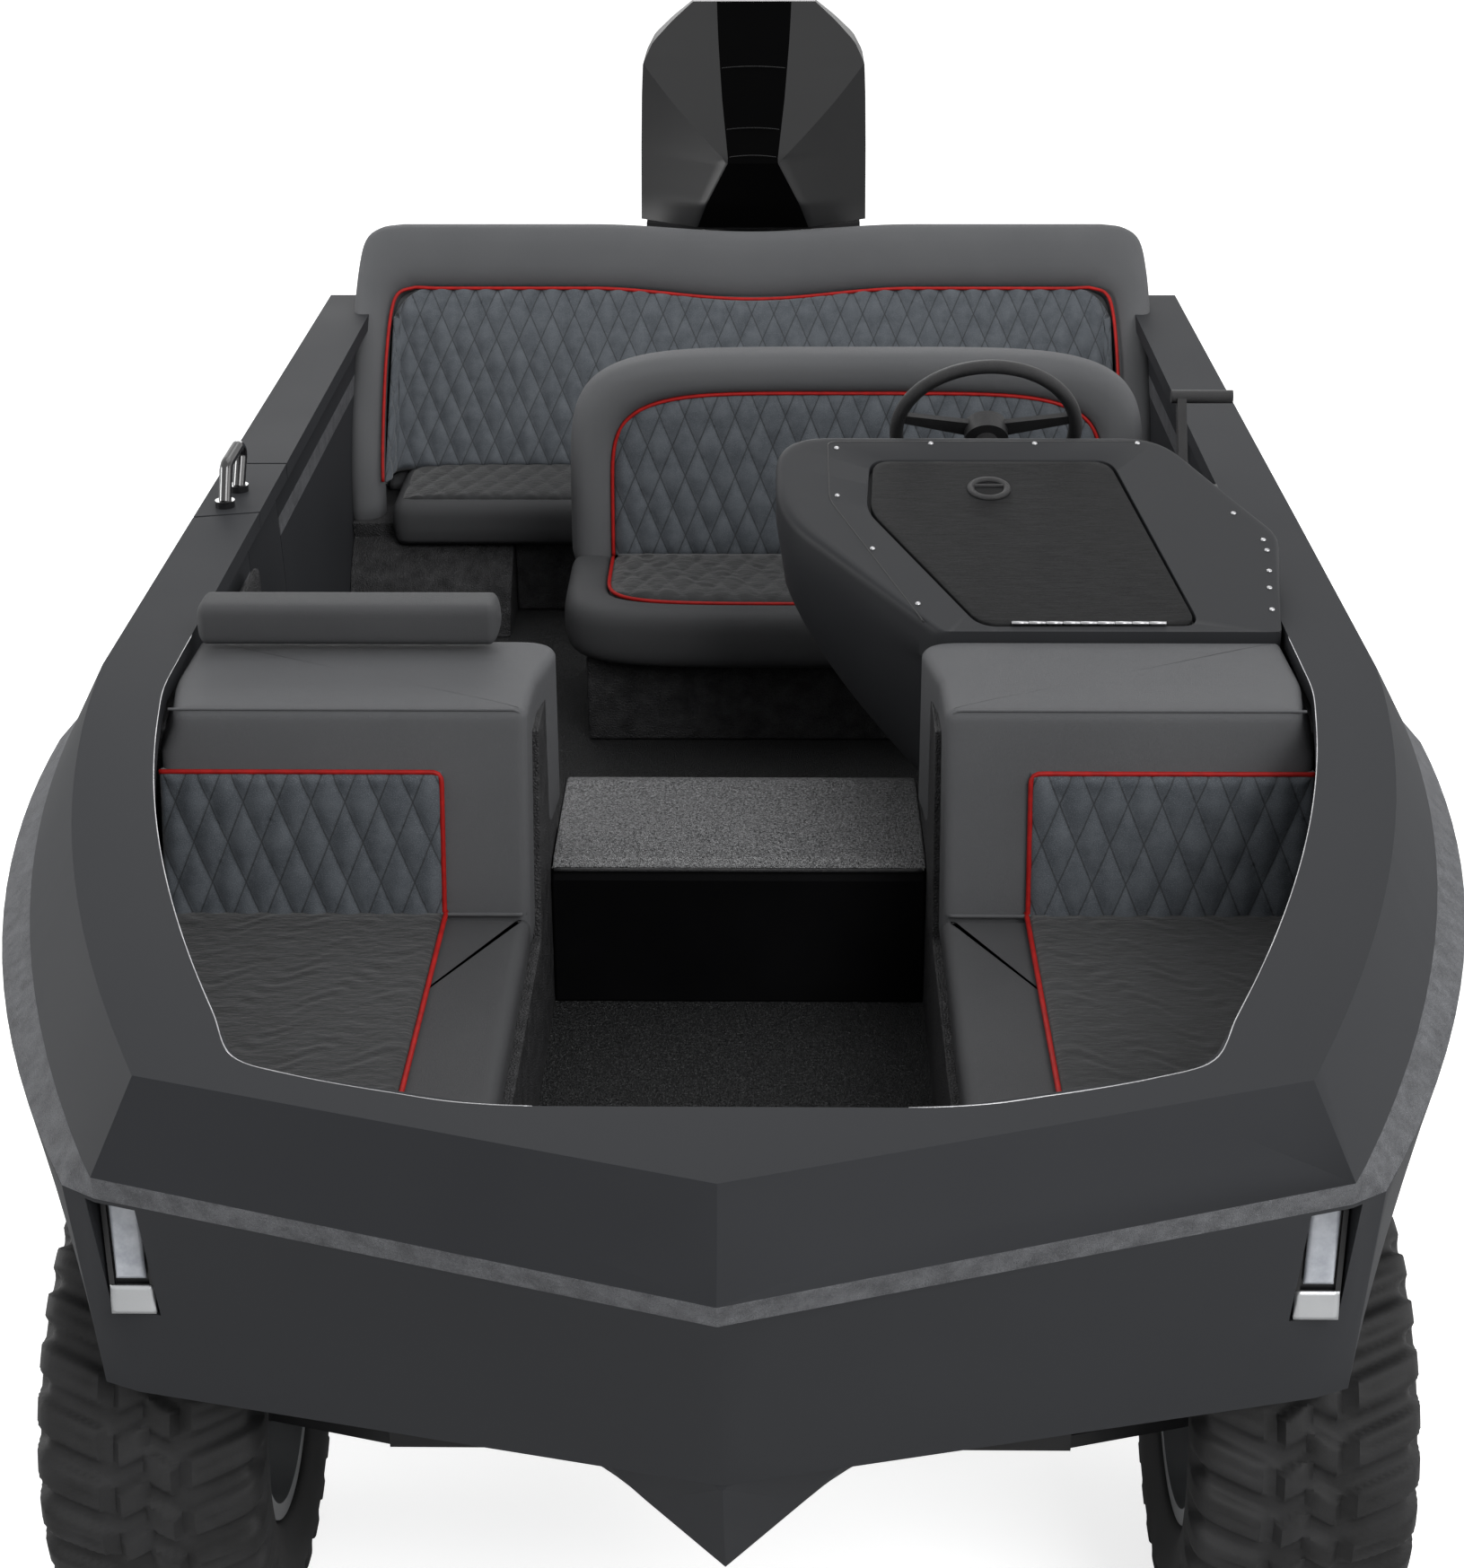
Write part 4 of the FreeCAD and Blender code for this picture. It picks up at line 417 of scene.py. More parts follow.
def buildMaterials():
    for name, look in looks.items():
        materials[name] = grainyMaterial(name, look)

    # suede of the quilted panels: blue-grey nap, painted shade in the sewn valleys, pale flecks
    # the second, darker copy of the suede is painted shade, for the cushion tops
    for name, dark, light in (("quiltSuede", (0.040, 0.047, 0.056), (0.078, 0.088, 0.100)),
                              ("shadedQuiltSuede", (0.0045, 0.005, 0.0055), (0.014, 0.015, 0.0165))):
        material, tree, shader = startMaterial(name, 0.8, Sheen_Weight=0.25, Sheen_Roughness=0.4)
        cloth = coordinates(tree, source="UV")
        field = useGroup(tree, "grainField", cloth, Tone_A=(*dark, 1), Tone_B=(*light, 1),
                         Cloud_Scale=26, Grain_Scale=520, Grain_Amount=2.0)
        seams = useGroup(tree, "diamondSeams", cloth)
        fleck = noise(tree, cloth, 800.0, 1.0, 0.5)
        flecks = math(tree, "MULTIPLY", math(tree, "GREATER_THAN", fleck, 0.62), 0.5)
        paler = mixColour(tree, flecks, field.outputs["Color"], (*(2 * tone for tone in light), 1))
        # painted shade: the seam mask darkens the colour towards near black in the sewn valleys between the puffs
        shade = math(tree, "MULTIPLY", seams.outputs["Mask"], 0.9)
        valleyShaded = mixColour(tree, shade, paler, (0.012, 0.013, 0.015, 1))
        tree.links.new(valleyShaded, shader.inputs["Base Color"])
        creased = noise(tree, coordinates(tree, (1, 2.4, 1), "UV"), 48.0, 3.0, 0.55)
        height = math(tree, "MULTIPLY_ADD", creased, 2.2 if name == "shadedQuiltSuede" else 0.4,
                      field.outputs["Height"])
        addBump(tree, shader, height, 0.0009 if name == "shadedQuiltSuede" else 0.0006)
        materials[name] = material

    # lamp lens: clear cover over a pale strip, its pale colour partly the strip's own and partly painted light for the
    # strip's faint glow
    material, tree, shader = startMaterial("lampLens", 0.12, Coat_Weight=0.5)
    vector = coordinates(tree)
    field = useGroup(tree, "grainField", vector, Tone_A=(0.30, 0.32, 0.36, 1),
                     Tone_B=(0.50, 0.52, 0.56, 1), Cloud_Scale=30, Grain_Scale=300,
                     Grain_Amount=0.5)
    tree.links.new(field.outputs["Color"], shader.inputs["Base Color"])
    materials["lampLens"] = material
    print("materials ready:", len(materials))


# Rigid pieces: the node's own mesh, merged, with its edges softened
def skin(node, look, edge=0.003, segments=2, pick=None, other=None, sharp=30):
    # pick(centre, normal) is true for the faces that take the other look
    body = frame["nodes"][node]
    work = bmesh.new()
    work.from_mesh(body.data)
    bmesh.ops.remove_doubles(work, verts=work.verts, dist=2e-5)
    bmesh.ops.dissolve_limit(work, angle_limit=radians(0.4), verts=work.verts, edges=work.edges)
    mesh = bpy.data.meshes.new(node + "Skin")
    work.to_mesh(mesh)
    work.free()
    piece = bpy.data.objects.new(node + "Skin", mesh)
    bpy.context.scene.collection.objects.link(piece)
    mesh.materials.append(materials[look])
    if other:
        mesh.materials.append(materials[other])
        flags = [1 if pick(p.center, p.normal) else 0 for p in mesh.polygons]
        mesh.polygons.foreach_set("material_index", flags)
    mesh.shade_smooth()
    mesh.set_sharp_from_angle(angle=radians(sharp))
    if edge:
        bevel = piece.modifiers.new("edges", "BEVEL")
        bevel.width = edge
        bevel.segments = segments
        bevel.limit_method = "ANGLE"
        bevel.angle_limit = radians(sharp)
        bevel.harden_normals = True
        bevel.use_clamp_overlap = True
    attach(piece, body["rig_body"])
    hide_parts(node)
    return piece


slotOf = {row["node"]: row["material_slot"] for row in frame["record"]["subparts"]}
plainLooks = {
    "hull_paint": "hullPaint", "band_grit": "bandGrit", "seat_vinyl": "seatVinyl",
    "floor_grit": "floorGrit", "base_black": "baseBlack", "console_shell": "consoleShell",
    "hatch_grain": "hatchBrushed", "grip_black": "gripBlack", "tyre": "tyreRubber",
    "rim_metal": "rimSilver", "steel_parts": "steelParts", "chassis_black": "chassisBlack",
    "cowl_gloss": "cowlGloss", "motor_paint": "motorPaint", "prop_metal": "propMetal",
    "lamp_plastic": "lampPlastic", "handle_gloss": "handleGloss", "pack_block": "packBlock",
}


def paintNodes():
    for name, node in nodes.items():
        node.data.materials.clear()
        node.data.materials.append(materials[plainLooks[slotOf[name]]])


skins = {
    # node: edge radius in metres
    "bow_panel": 0.004, "side_left": 0.004, "side_right": 0.004, "transom": 0.004,
    "deck_ring": 0.004, "rub_band": 0.005, "hull_bottom": 0.005, "boarding_door": 0.003,
    "driver_base": 0.008, "rear_base": 0.008, "motor_leg": 0.003, "motor_bracket": 0.002,
    "swivel_bracket": 0.003, "pedal": 0.003, "wheel_boxes": 0.006,
}


def dressRigid():
    for node, edge in skins.items():
        skin(node, plainLooks[slotOf[node]], edge)
    # the step's top takes the grit with painted glints; its other faces take the dark finish
    skin("step_box", "stepGritAndGlints", 0.006, 3, other="stepDark",
         pick=lambda centre, normal: normal.z < 0.5)
    for side in ("left", "right"):
        skin("bow_seat_" + side, "baseBlack", 0.010, 3, other="seatVinyl",
             pick=lambda centre, normal: abs(normal.x) > 0.9 and abs(centre.x) < 0.3
             and centre.y > -1.0)
    print("rigid pieces dressed")


# Mesh helpers: every new shape is a grid of points worked out as whole arrays
def quads(rows, columns, wrapRows=False, wrapColumns=False):
    # point (i, j) is number i * columns + j, and a face joins it to its next row and column
    i = np.arange(rows if wrapRows else rows - 1)[:, None]
    j = np.arange(columns if wrapColumns else columns - 1)[None, :]
    below, beside = (i + 1) % rows, (j + 1) % columns
    corners = (i * columns + j, i * columns + beside, below * columns + beside, below * columns + j)
    return np.stack(np.broadcast_arrays(*corners), axis=-1).reshape(-1, 4).tolist()


def makePiece(name, points, faces, look, body="hull", nodes=(), uv=None,
              sharp=None):
    points = np.asarray(points, dtype=float).reshape(-1, 3)
    mesh = bpy.data.meshes.new(name)
    mesh.from_pydata(points.tolist(), [], faces)
    if uv is not None:
        layer = mesh.uv_layers.new(name="cloth")
        corner = np.empty(len(mesh.loops), dtype=np.int32)
        mesh.loops.foreach_get("vertex_index", corner)
        layer.data.foreach_set("uv", np.asarray(uv, dtype=float).reshape(-1, 2)[corner].ravel())
    work = bmesh.new()
    work.from_mesh(mesh)
    bmesh.ops.recalc_face_normals(work, faces=work.faces)
    work.to_mesh(mesh)
    work.free()
    mesh.shade_smooth()
    if sharp:
        mesh.set_sharp_from_angle(angle=radians(sharp))
    mesh.materials.append(materials[look])
    piece = bpy.data.objects.new(name, mesh)
    bpy.context.scene.collection.objects.link(piece)
    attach(piece, body)
    if nodes:
        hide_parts(*nodes)
    return piece


def power(value, exponent):
    return np.sign(value) * np.abs(value) ** exponent


def evenly(curve, count, closed=False):
    # the same curve with points at equal steps of its length
    curve = np.asarray(curve, dtype=float)
    if closed:
        curve = np.vstack((curve, curve[:1]))
    along = np.concatenate(([0], np.cumsum(np.linalg.norm(np.diff(curve, axis=0), axis=1))))
    stops = np.linspace(0, along[-1], count, endpoint=not closed)
    return np.stack([np.interp(stops, along, curve[:, k]) for k in range(curve.shape[1])], axis=1)


def unit(vectors):
    return vectors / np.maximum(np.linalg.norm(vectors, axis=-1, keepdims=True), 1e-9)


def tube(name, path, radius, reference, look="pipingRed", body="hull", sides=8):
    # circle of the radius about the path, in the plane across its direction
    path = np.asarray(path, dtype=float)
    along = unit(np.gradient(path, axis=0))
    across = unit(np.cross(along, np.asarray(reference, dtype=float)))
    up = np.cross(across, along)
    turn = np.linspace(0, 2 * np.pi, sides, endpoint=False)
    rings = path[:, None] + radius * (np.cos(turn)[None, :, None] * across[:, None]
                                      + np.sin(turn)[None, :, None] * up[:, None])
    faces = quads(len(path), sides, wrapColumns=True)
    faces += [list(range(sides)), list(range((len(path) - 1) * sides, len(path) * sides))]
    return makePiece(name, rings, faces, look, body)


def roll(name, inner, outer, facing, depth, look="seatVinyl", square=2.7, ends=0.035, sides=28,
         nodes=(), fill=0.8):
    # superellipse between the inner and outer curve, depth thick, drawn in at both ends as a quarter round
    middle, half = (inner + outer) / 2, (outer - inner) / 2
    along = np.concatenate(([0], np.cumsum(np.linalg.norm(np.diff(middle, axis=0), axis=1))))
    nearest = np.minimum(along, along[-1] - along) / ends
    shrink = np.sqrt(1 - (1 - np.clip(nearest, 0.02, 1)) ** 2)[:, None, None]
    turn = np.linspace(0, 2 * np.pi, sides, endpoint=False)
    across = power(np.cos(turn), 2 / square)[None, :, None]
    ahead = power(np.sin(turn), 2 / square)[None, :, None]
    facing = unit(np.broadcast_to(np.asarray(facing, dtype=float), inner.shape))[:, None]
    thick = np.broadcast_to(np.asarray(depth, dtype=float), len(inner))[:, None, None] / 2
    rings = middle[:, None] + shrink * (half[:, None] * across + facing * thick * ahead)
    faces = quads(len(inner), sides, wrapColumns=True)
    faces += [list(range(sides)), list(range((len(inner) - 1) * sides, len(inner) * sides))]
    return makePiece(name, rings, faces, look, nodes=nodes)


def slab(name, front, back, look, uv=None, nodes=()):
    # two grids of equal count, joined round their borders into one closed form
    rows, columns = front.shape[:2]
    count = rows * columns
    number = np.arange(count).reshape(rows, columns)
    border = np.concatenate((number[0, :-1], number[:-1, -1], number[-1, :0:-1], number[:0:-1, 0]))
    after = np.roll(border, -1)
    faces = quads(rows, columns)
    faces += (np.array(quads(rows, columns))[:, ::-1] + count).tolist()
    faces += np.stack((border, border + count, after + count, after), axis=1).tolist()
    points = np.concatenate((front.reshape(-1, 3), back.reshape(-1, 3)))
    if uv is not None:
        uv = np.concatenate((uv.reshape(-1, 2),) * 2)
    return makePiece(name, points, faces, look, uv=uv, nodes=nodes)


def stacked(name, outline, profile, look, plane="xy", centre=None, nodes=(),
            body="hull", lean=None):
    # the closed outline moved inwards and up by each row of the profile (inset, height, share left of
    # the way to the centre); the first and last rows close on their middle
    outline = np.asarray(outline, dtype=float)
    edge = np.roll(outline, -1, axis=0) - np.roll(outline, 1, axis=0)
    inward = unit(np.stack((-edge[:, 1], edge[:, 0]), axis=1))
    if np.sum(outline[:, 0] * np.roll(outline[:, 1], -1) - outline[:, 1] * np.roll(outline[:, 0], -1)) < 0:
        inward = -inward
    middle = outline.mean(axis=0) if centre is None else np.asarray(centre)
    rings = []
    for inset, height, share in profile:
        flat = outline + inward * inset
        flat = middle + (flat - middle) * share
        rings.append(np.column_stack((flat, np.full(len(flat), height))))
    rings = np.array(rings)
    if plane == "xz":
        rings = rings[:, :, [0, 2, 1]]
    if lean is not None:
        rings = lean(rings)
    faces = quads(len(rings), len(outline), wrapColumns=True)
    faces += [list(range(len(outline))),
              list(range((len(rings) - 1) * len(outline), len(rings) * len(outline)))]
    return makePiece(name, rings, faces, look, nodes=nodes, body=body)


def cornered(corners, radii, steps=8):
    # straight sides joined by quadratic curves that start a radius away from each corner
    corners = np.asarray(corners, dtype=float)
    points = []
    share = np.linspace(0, 1, steps)[:, None]
    for index, radius in enumerate(radii):
        here = corners[index]
        first = here + unit(corners[index - 1] - here) * radius
        last = here + unit(corners[(index + 1) % len(corners)] - here) * radius
        points.append((1 - share) ** 2 * first + 2 * share * (1 - share) * here + share ** 2 * last)
    return np.concatenate(points)


# Quilting: upright diamonds, puffed between sewn valleys
quilt = {"width": 0.049, "height": 0.116, "puff": 0.0100, "step": 0.0046, "roundness": 0.42}


def puffed(p, q, height=None):
    # height times the root of |sin(pi a)| |sin(pi b)|, a and b being the two sets of sewn lines
    a = p / quilt["width"] + q / quilt["height"]
    b = p / quilt["width"] - q / quilt["height"]
    swell = (np.abs(np.sin(np.pi * a)) * np.abs(np.sin(np.pi * b))) ** quilt["roundness"]
    return (quilt["puff"] if height is None else height) * swell


def rippled(p, q):
    # short shallow creases that come and go: two sines of q, shifted and faded by sines of p
    wander = 0.8 * np.sin(2 * np.pi * p / 0.117) + 0.6 * np.sin(2 * np.pi * (p + 0.4 * q) / 0.071 + 1.7)
    first = np.sin(2 * np.pi * q / 0.037 + 2.6 * wander)
    second = np.sin(2 * np.pi * (q + 0.3 * p) / 0.026 + 2.1 * wander)
    fade = 0.5 + 0.5 * np.sin(2 * np.pi * p / 0.093 + 2 * np.pi * q / 0.147)
    return fade * (0.0007 * first + 0.0004 * second)


def edgeDrop(u, v, reach=0.06):
    # 1 inside, falling to 0 at the panel's border over the reach, as a quarter round
    nearest = np.minimum(np.minimum(u, 1 - u), np.minimum(v, 1 - v)) / reach
    return np.sqrt(1 - (1 - np.clip(nearest, 0, 1)) ** 2)


# The cockpit opening's half width along the boat, from three places on its curve
opening = {"curve": ((-1.908, 0.552), (-1.36, 0.745), (-0.86, 0.84)), "aft": 0.84}
openingFit = np.polyfit(*np.array(opening["curve"]).T, 2)


def openingHalf(y):
    y = np.asarray(y, dtype=float)
    return np.where(y > opening["curve"][-1][0], opening["aft"], np.polyval(openingFit, y))


bowSeat = {
    "inner": 0.300, "cushionTop": 0.700, "cushionLow": 0.637, "front": -1.905, "rear": -1.016,
    "piping": 0.424, "backFront": -1.018, "backRear": -0.642, "backTop": 1.0, "lean": 0.068,
    "panelTop": 0.911, "panelLow": 0.694, "edge": 0.016, "underLip": 0.012,
}


def bowBackFront(z):
    # the back's front leans rearwards from the cushion to the top
    return bowSeat["backFront"] + bowSeat["lean"] * np.clip((z - 0.69) / 0.31, 0, 1)


def makeBowSeat(side):
    sign, word = (1, "left") if side > 0 else (-1, "right")
    s = bowSeat
    flip = np.array((sign, 1, 1))

    # cushion: vinyl body under the whole seat
    y = np.linspace(s["rear"], s["front"], 40)
    outer = np.column_stack((openingHalf(y) + 0.006, y))
    outline = np.vstack(([(s["inner"], s["front"]), (s["inner"], s["rear"])], outer))
    # cushion: vinyl body under the whole seat, in the darker copy of the vinyl with painted shade
    outline = evenly(outline, 200, closed=True) * (sign, 1)
    top, low, r = s["cushionTop"], s["cushionLow"], 0.020
    bend = np.linspace(0, np.pi / 2, 6)
    profile = [(0.010, low, 0.4), (0.010, low, 1.0), (0.002, low + 0.008, 1.0), (0.0, low + 0.02, 1.0)]
    profile += [(r * (1 - np.cos(a)), top - r + r * np.sin(a), 1.0) for a in bend]
    profile += [(r, top, share) for share in (0.93, 0.8, 0.5, 0.1)]
    centre = (sign * 0.52, -1.42)
    stacked(f"bowCushion.{word}", outline, profile, "shadedVinyl", centre=centre,
            nodes=("bow_cushion_" + word,))

    # cushion: suede top outboard of the piping, in the darker copy of the suede with painted shade
    count = int((s["rear"] - s["front"]) / 0.006)
    v = np.linspace(0, 1, count)[:, None]
    u = np.linspace(0, 1, 90)[None, :]
    yGrid = s["rear"] + 0.004 + (s["front"] - s["rear"]) * v * 0.99 + 0 * u
    xGrid = s["piping"] + (openingHalf(yGrid) + 0.002 - s["piping"]) * u
    z = top + 0.003 + 0.009 * edgeDrop(u, v, 0.05) + rippled(xGrid, yGrid) * edgeDrop(u, v, 0.1)
    front = np.stack((xGrid, yGrid, z + 0 * u), axis=-1) * flip
    back = np.stack((xGrid, yGrid, np.full_like(xGrid, top - 0.012)), axis=-1) * flip
    slab(f"bowSuede.{word}", front, back, "shadedQuiltSuede", uv=np.stack((xGrid, yGrid), axis=-1))
    y = np.linspace(s["rear"], s["front"] + 0.01, 60)
    seam = np.column_stack((np.full(60, sign * (s["piping"] - 0.002)), y, np.full(60, top + 0.007)))
    tube(f"bowPipe.{word}", seam, 0.0038, (0, 0, 1))

    # back: vinyl body
    rear, edge = s["backRear"], s["edge"]
    y = np.linspace(rear, s["backFront"], 12)
    outer = np.column_stack((openingHalf(y) - 0.008, y))
    corners = np.array(((s["inner"], s["backFront"]), (s["inner"] - 0.003, rear)))
    shape = np.vstack((corners, outer))
    radii = [0.016, 0.055] + [0.012] + [0.001] * 10 + [0.02]
    outline = evenly(cornered(shape, radii), 220, closed=True) * (sign, 1)
    bottom, topZ = 0.640, s["backTop"] - 0.002
    profile = [(0.02, bottom, 0.5), (0.006, bottom, 1.0), (0.0, bottom + 0.012, 1.0)]
    profile += [(0.0, height, 1.0) for height in np.linspace(0.67, topZ - edge - 0.01, 9)]
    profile += [(edge * (1 - np.cos(a)), topZ - edge + edge * np.sin(a), 1.0) for a in bend]
    profile += [(edge, topZ + 0.001, 0.95), (edge, topZ + 0.002, 0.8), (edge, topZ + 0.002, 0.4),
                (edge, topZ + 0.002, 0.05)]

    def shaped(rings):
        # front leans back with height, and the top falls a little to the rear
        ahead = np.clip((rear - rings[..., 1]) / (rear - s["backFront"]), 0, 1)
        rise = np.clip((rings[..., 2] - 0.69) / 0.31, 0, 1)
        rings[..., 1] += s["lean"] * rise * ahead
        # below the deck's lip it reaches further out, and its inboard rear corner flares
        below = np.clip((0.970 - rings[..., 2]) / 0.006, 0, 1)
        away = np.clip((np.abs(rings[..., 0]) - 0.70) / 0.08, 0, 1)
        rings[..., 0] += sign * 0.018 * below * away
        near = np.clip((0.42 - np.abs(rings[..., 0])) / 0.12, 0, 1)
        above = np.clip((rings[..., 2] - 0.70) / 0.03, 0, 1)
        rings[..., 0] -= sign * 0.018 * near * above * np.clip((rings[..., 1] + 0.82) / 0.12, 0, 1)
        rings[..., 2] -= 0.012 * np.clip((rings[..., 2] - 0.9) / 0.1, 0, 1) * (1 - ahead)
        return rings

    stacked(f"bowBack.{word}", outline, profile, "seatVinyl", lean=shaped,
            centre=(sign * 0.57, -0.83), nodes=("bow_back_" + word,))

    # back: quilted panel with red piping along its top and inboard side
    outerX = openingHalf(-1.0) + 0.010
    wide, tall = outerX - s["piping"], s["panelTop"] - s["panelLow"]
    u = np.linspace(0, 1, int(wide / quilt["step"]))[None, :]
    v = np.linspace(0, 1, int(tall / quilt["step"]))[:, None]
    p, z = s["piping"] + wide * u + 0 * v, s["panelLow"] + tall * v + 0 * u
    lift = 0.004 + 0.006 * edgeDrop(u, v, 0.08) + puffed(p, z) * edgeDrop(u, v, 0.05)
    front = np.stack((p, bowBackFront(z) - lift, z), axis=-1) * flip
    back = np.stack((p, bowBackFront(z) + 0.012, z), axis=-1) * flip
    slab(f"bowQuilt.{word}", front, back, "quiltSuede", uv=np.stack((p, z), axis=-1))
    corner = 0.014
    path = np.vstack((((outerX, s["panelTop"]),),
                      cornered(((outerX, s["panelTop"]), (s["piping"], s["panelTop"]),
                                (s["piping"], s["panelLow"])), (0.0001, corner, 0.0001))[8:16],
                      ((s["piping"], s["panelLow"]),)))
    path = evenly(path, 90)
    route = np.column_stack((sign * path[:, 0], bowBackFront(path[:, 1]) - 0.006, path[:, 1]))
    tube(f"bowBackPipe.{word}", route, 0.0038, (0, -1, 0.2))

    # welts: along the front top edge and down the inboard edge, and where back and cushion meet
    inset = 0.007
    weltX = outerX - 0.014
    path = np.vstack((((weltX, topZ - 0.002),),
                      cornered(((weltX, topZ - 0.002), (s["inner"] + inset, topZ - 0.002),
                                (s["inner"] + inset, 0.645)), (0.0001, 0.016, 0.0001))[8:16],
                      ((s["inner"] + inset, 0.70),)))
    path = evenly(path, 110)
    route = np.column_stack((sign * path[:, 0], bowBackFront(path[:, 1]) + 0.0055, path[:, 1]))
    tube(f"bowWelt.{word}", route, 0.0022, (0, -1, 0.2), look="seatVinyl")
    x = np.linspace(s["inner"] + 0.01, outerX, 60)
    route = np.column_stack((sign * x, np.full(60, s["backFront"] - 0.005), np.full(60, top + 0.006)))
    tube(f"bowFoldWelt.{word}", route, 0.003, (0, 0, 1), look="seatVinyl")


capRoll = {"low": (-0.824, -0.712, 1.0), "high": (-0.362, -0.632, 1.066)}


def makeCapRoll():
    # a superellipse bar along x, drawn in at its ends, in the darker copy of the vinyl with painted shade
    (x0, y0, z0), (x1, y1, z1) = capRoll["low"], capRoll["high"]
    x = np.concatenate((x0 + 0.03 * np.linspace(0, 1, 10) ** 2, np.linspace(x0 + 0.04, x1 - 0.04, 60),
                        x1 - 0.03 * np.linspace(1, 0, 10) ** 2))
    inner = np.column_stack((x, np.full(len(x), y1), np.full(len(x), (z0 + z1) / 2)))
    outer = np.column_stack((x, np.full(len(x), y0), np.full(len(x), (z0 + z1) / 2)))
    roll("capRoll", inner, outer, (0, 0, 1), z1 - z0, square=4.6, ends=0.016, sides=36,
         nodes=("cap_roll",), fill=0.9, look="shadedVinyl")


driver = {
    "middle": 0.2125, "innerHalf": 0.478, "outerHalf": 0.562, "sideTop": 0.80, "innerTop": 1.029,
    "outerTop": 1.108, "low": 0.612, "square": 5.0, "rear": 0.660, "faceLow": 0.500, "faceLean": 0.15,
    "cushionTop": 0.715, "cushionLow": 0.608, "cushionRear": 0.55, "innerFront": 0.250,
    "outerFront": 0.172, "sideFront": 0.45,
}


def driverFace(z):
    # the back's front leans rearwards with height
    return driver["faceLow"] + driver["faceLean"] * (z - 0.70)


def arched(half, top, low, count=150):
    # straight sides, then a superellipse over the top, in x and z
    d = driver
    turn = np.linspace(np.pi, 0, 700)
    x = d["middle"] + half * power(np.cos(turn), 2 / d["square"])
    z = d["sideTop"] + (top - d["sideTop"]) * power(np.sin(turn), 2 / d["square"])
    curve = np.vstack(((d["middle"] - half, low), np.column_stack((x, z)), (d["middle"] + half, low)))
    return evenly(curve, count)


def yoked(half, front, count=150):
    # straight sides, then a superellipse round the front, in x and y
    d = driver
    turn = np.linspace(np.pi, 0, 700)
    x = d["middle"] + half * power(np.cos(turn), 2 / 5.5)
    y = d["sideFront"] - (d["sideFront"] - front) * power(np.sin(turn), 2 / 5.5)
    curve = np.vstack(((d["middle"] - half, d["cushionRear"]), np.column_stack((x, y)),
                       (d["middle"] + half, d["cushionRear"])))
    return evenly(curve, count)


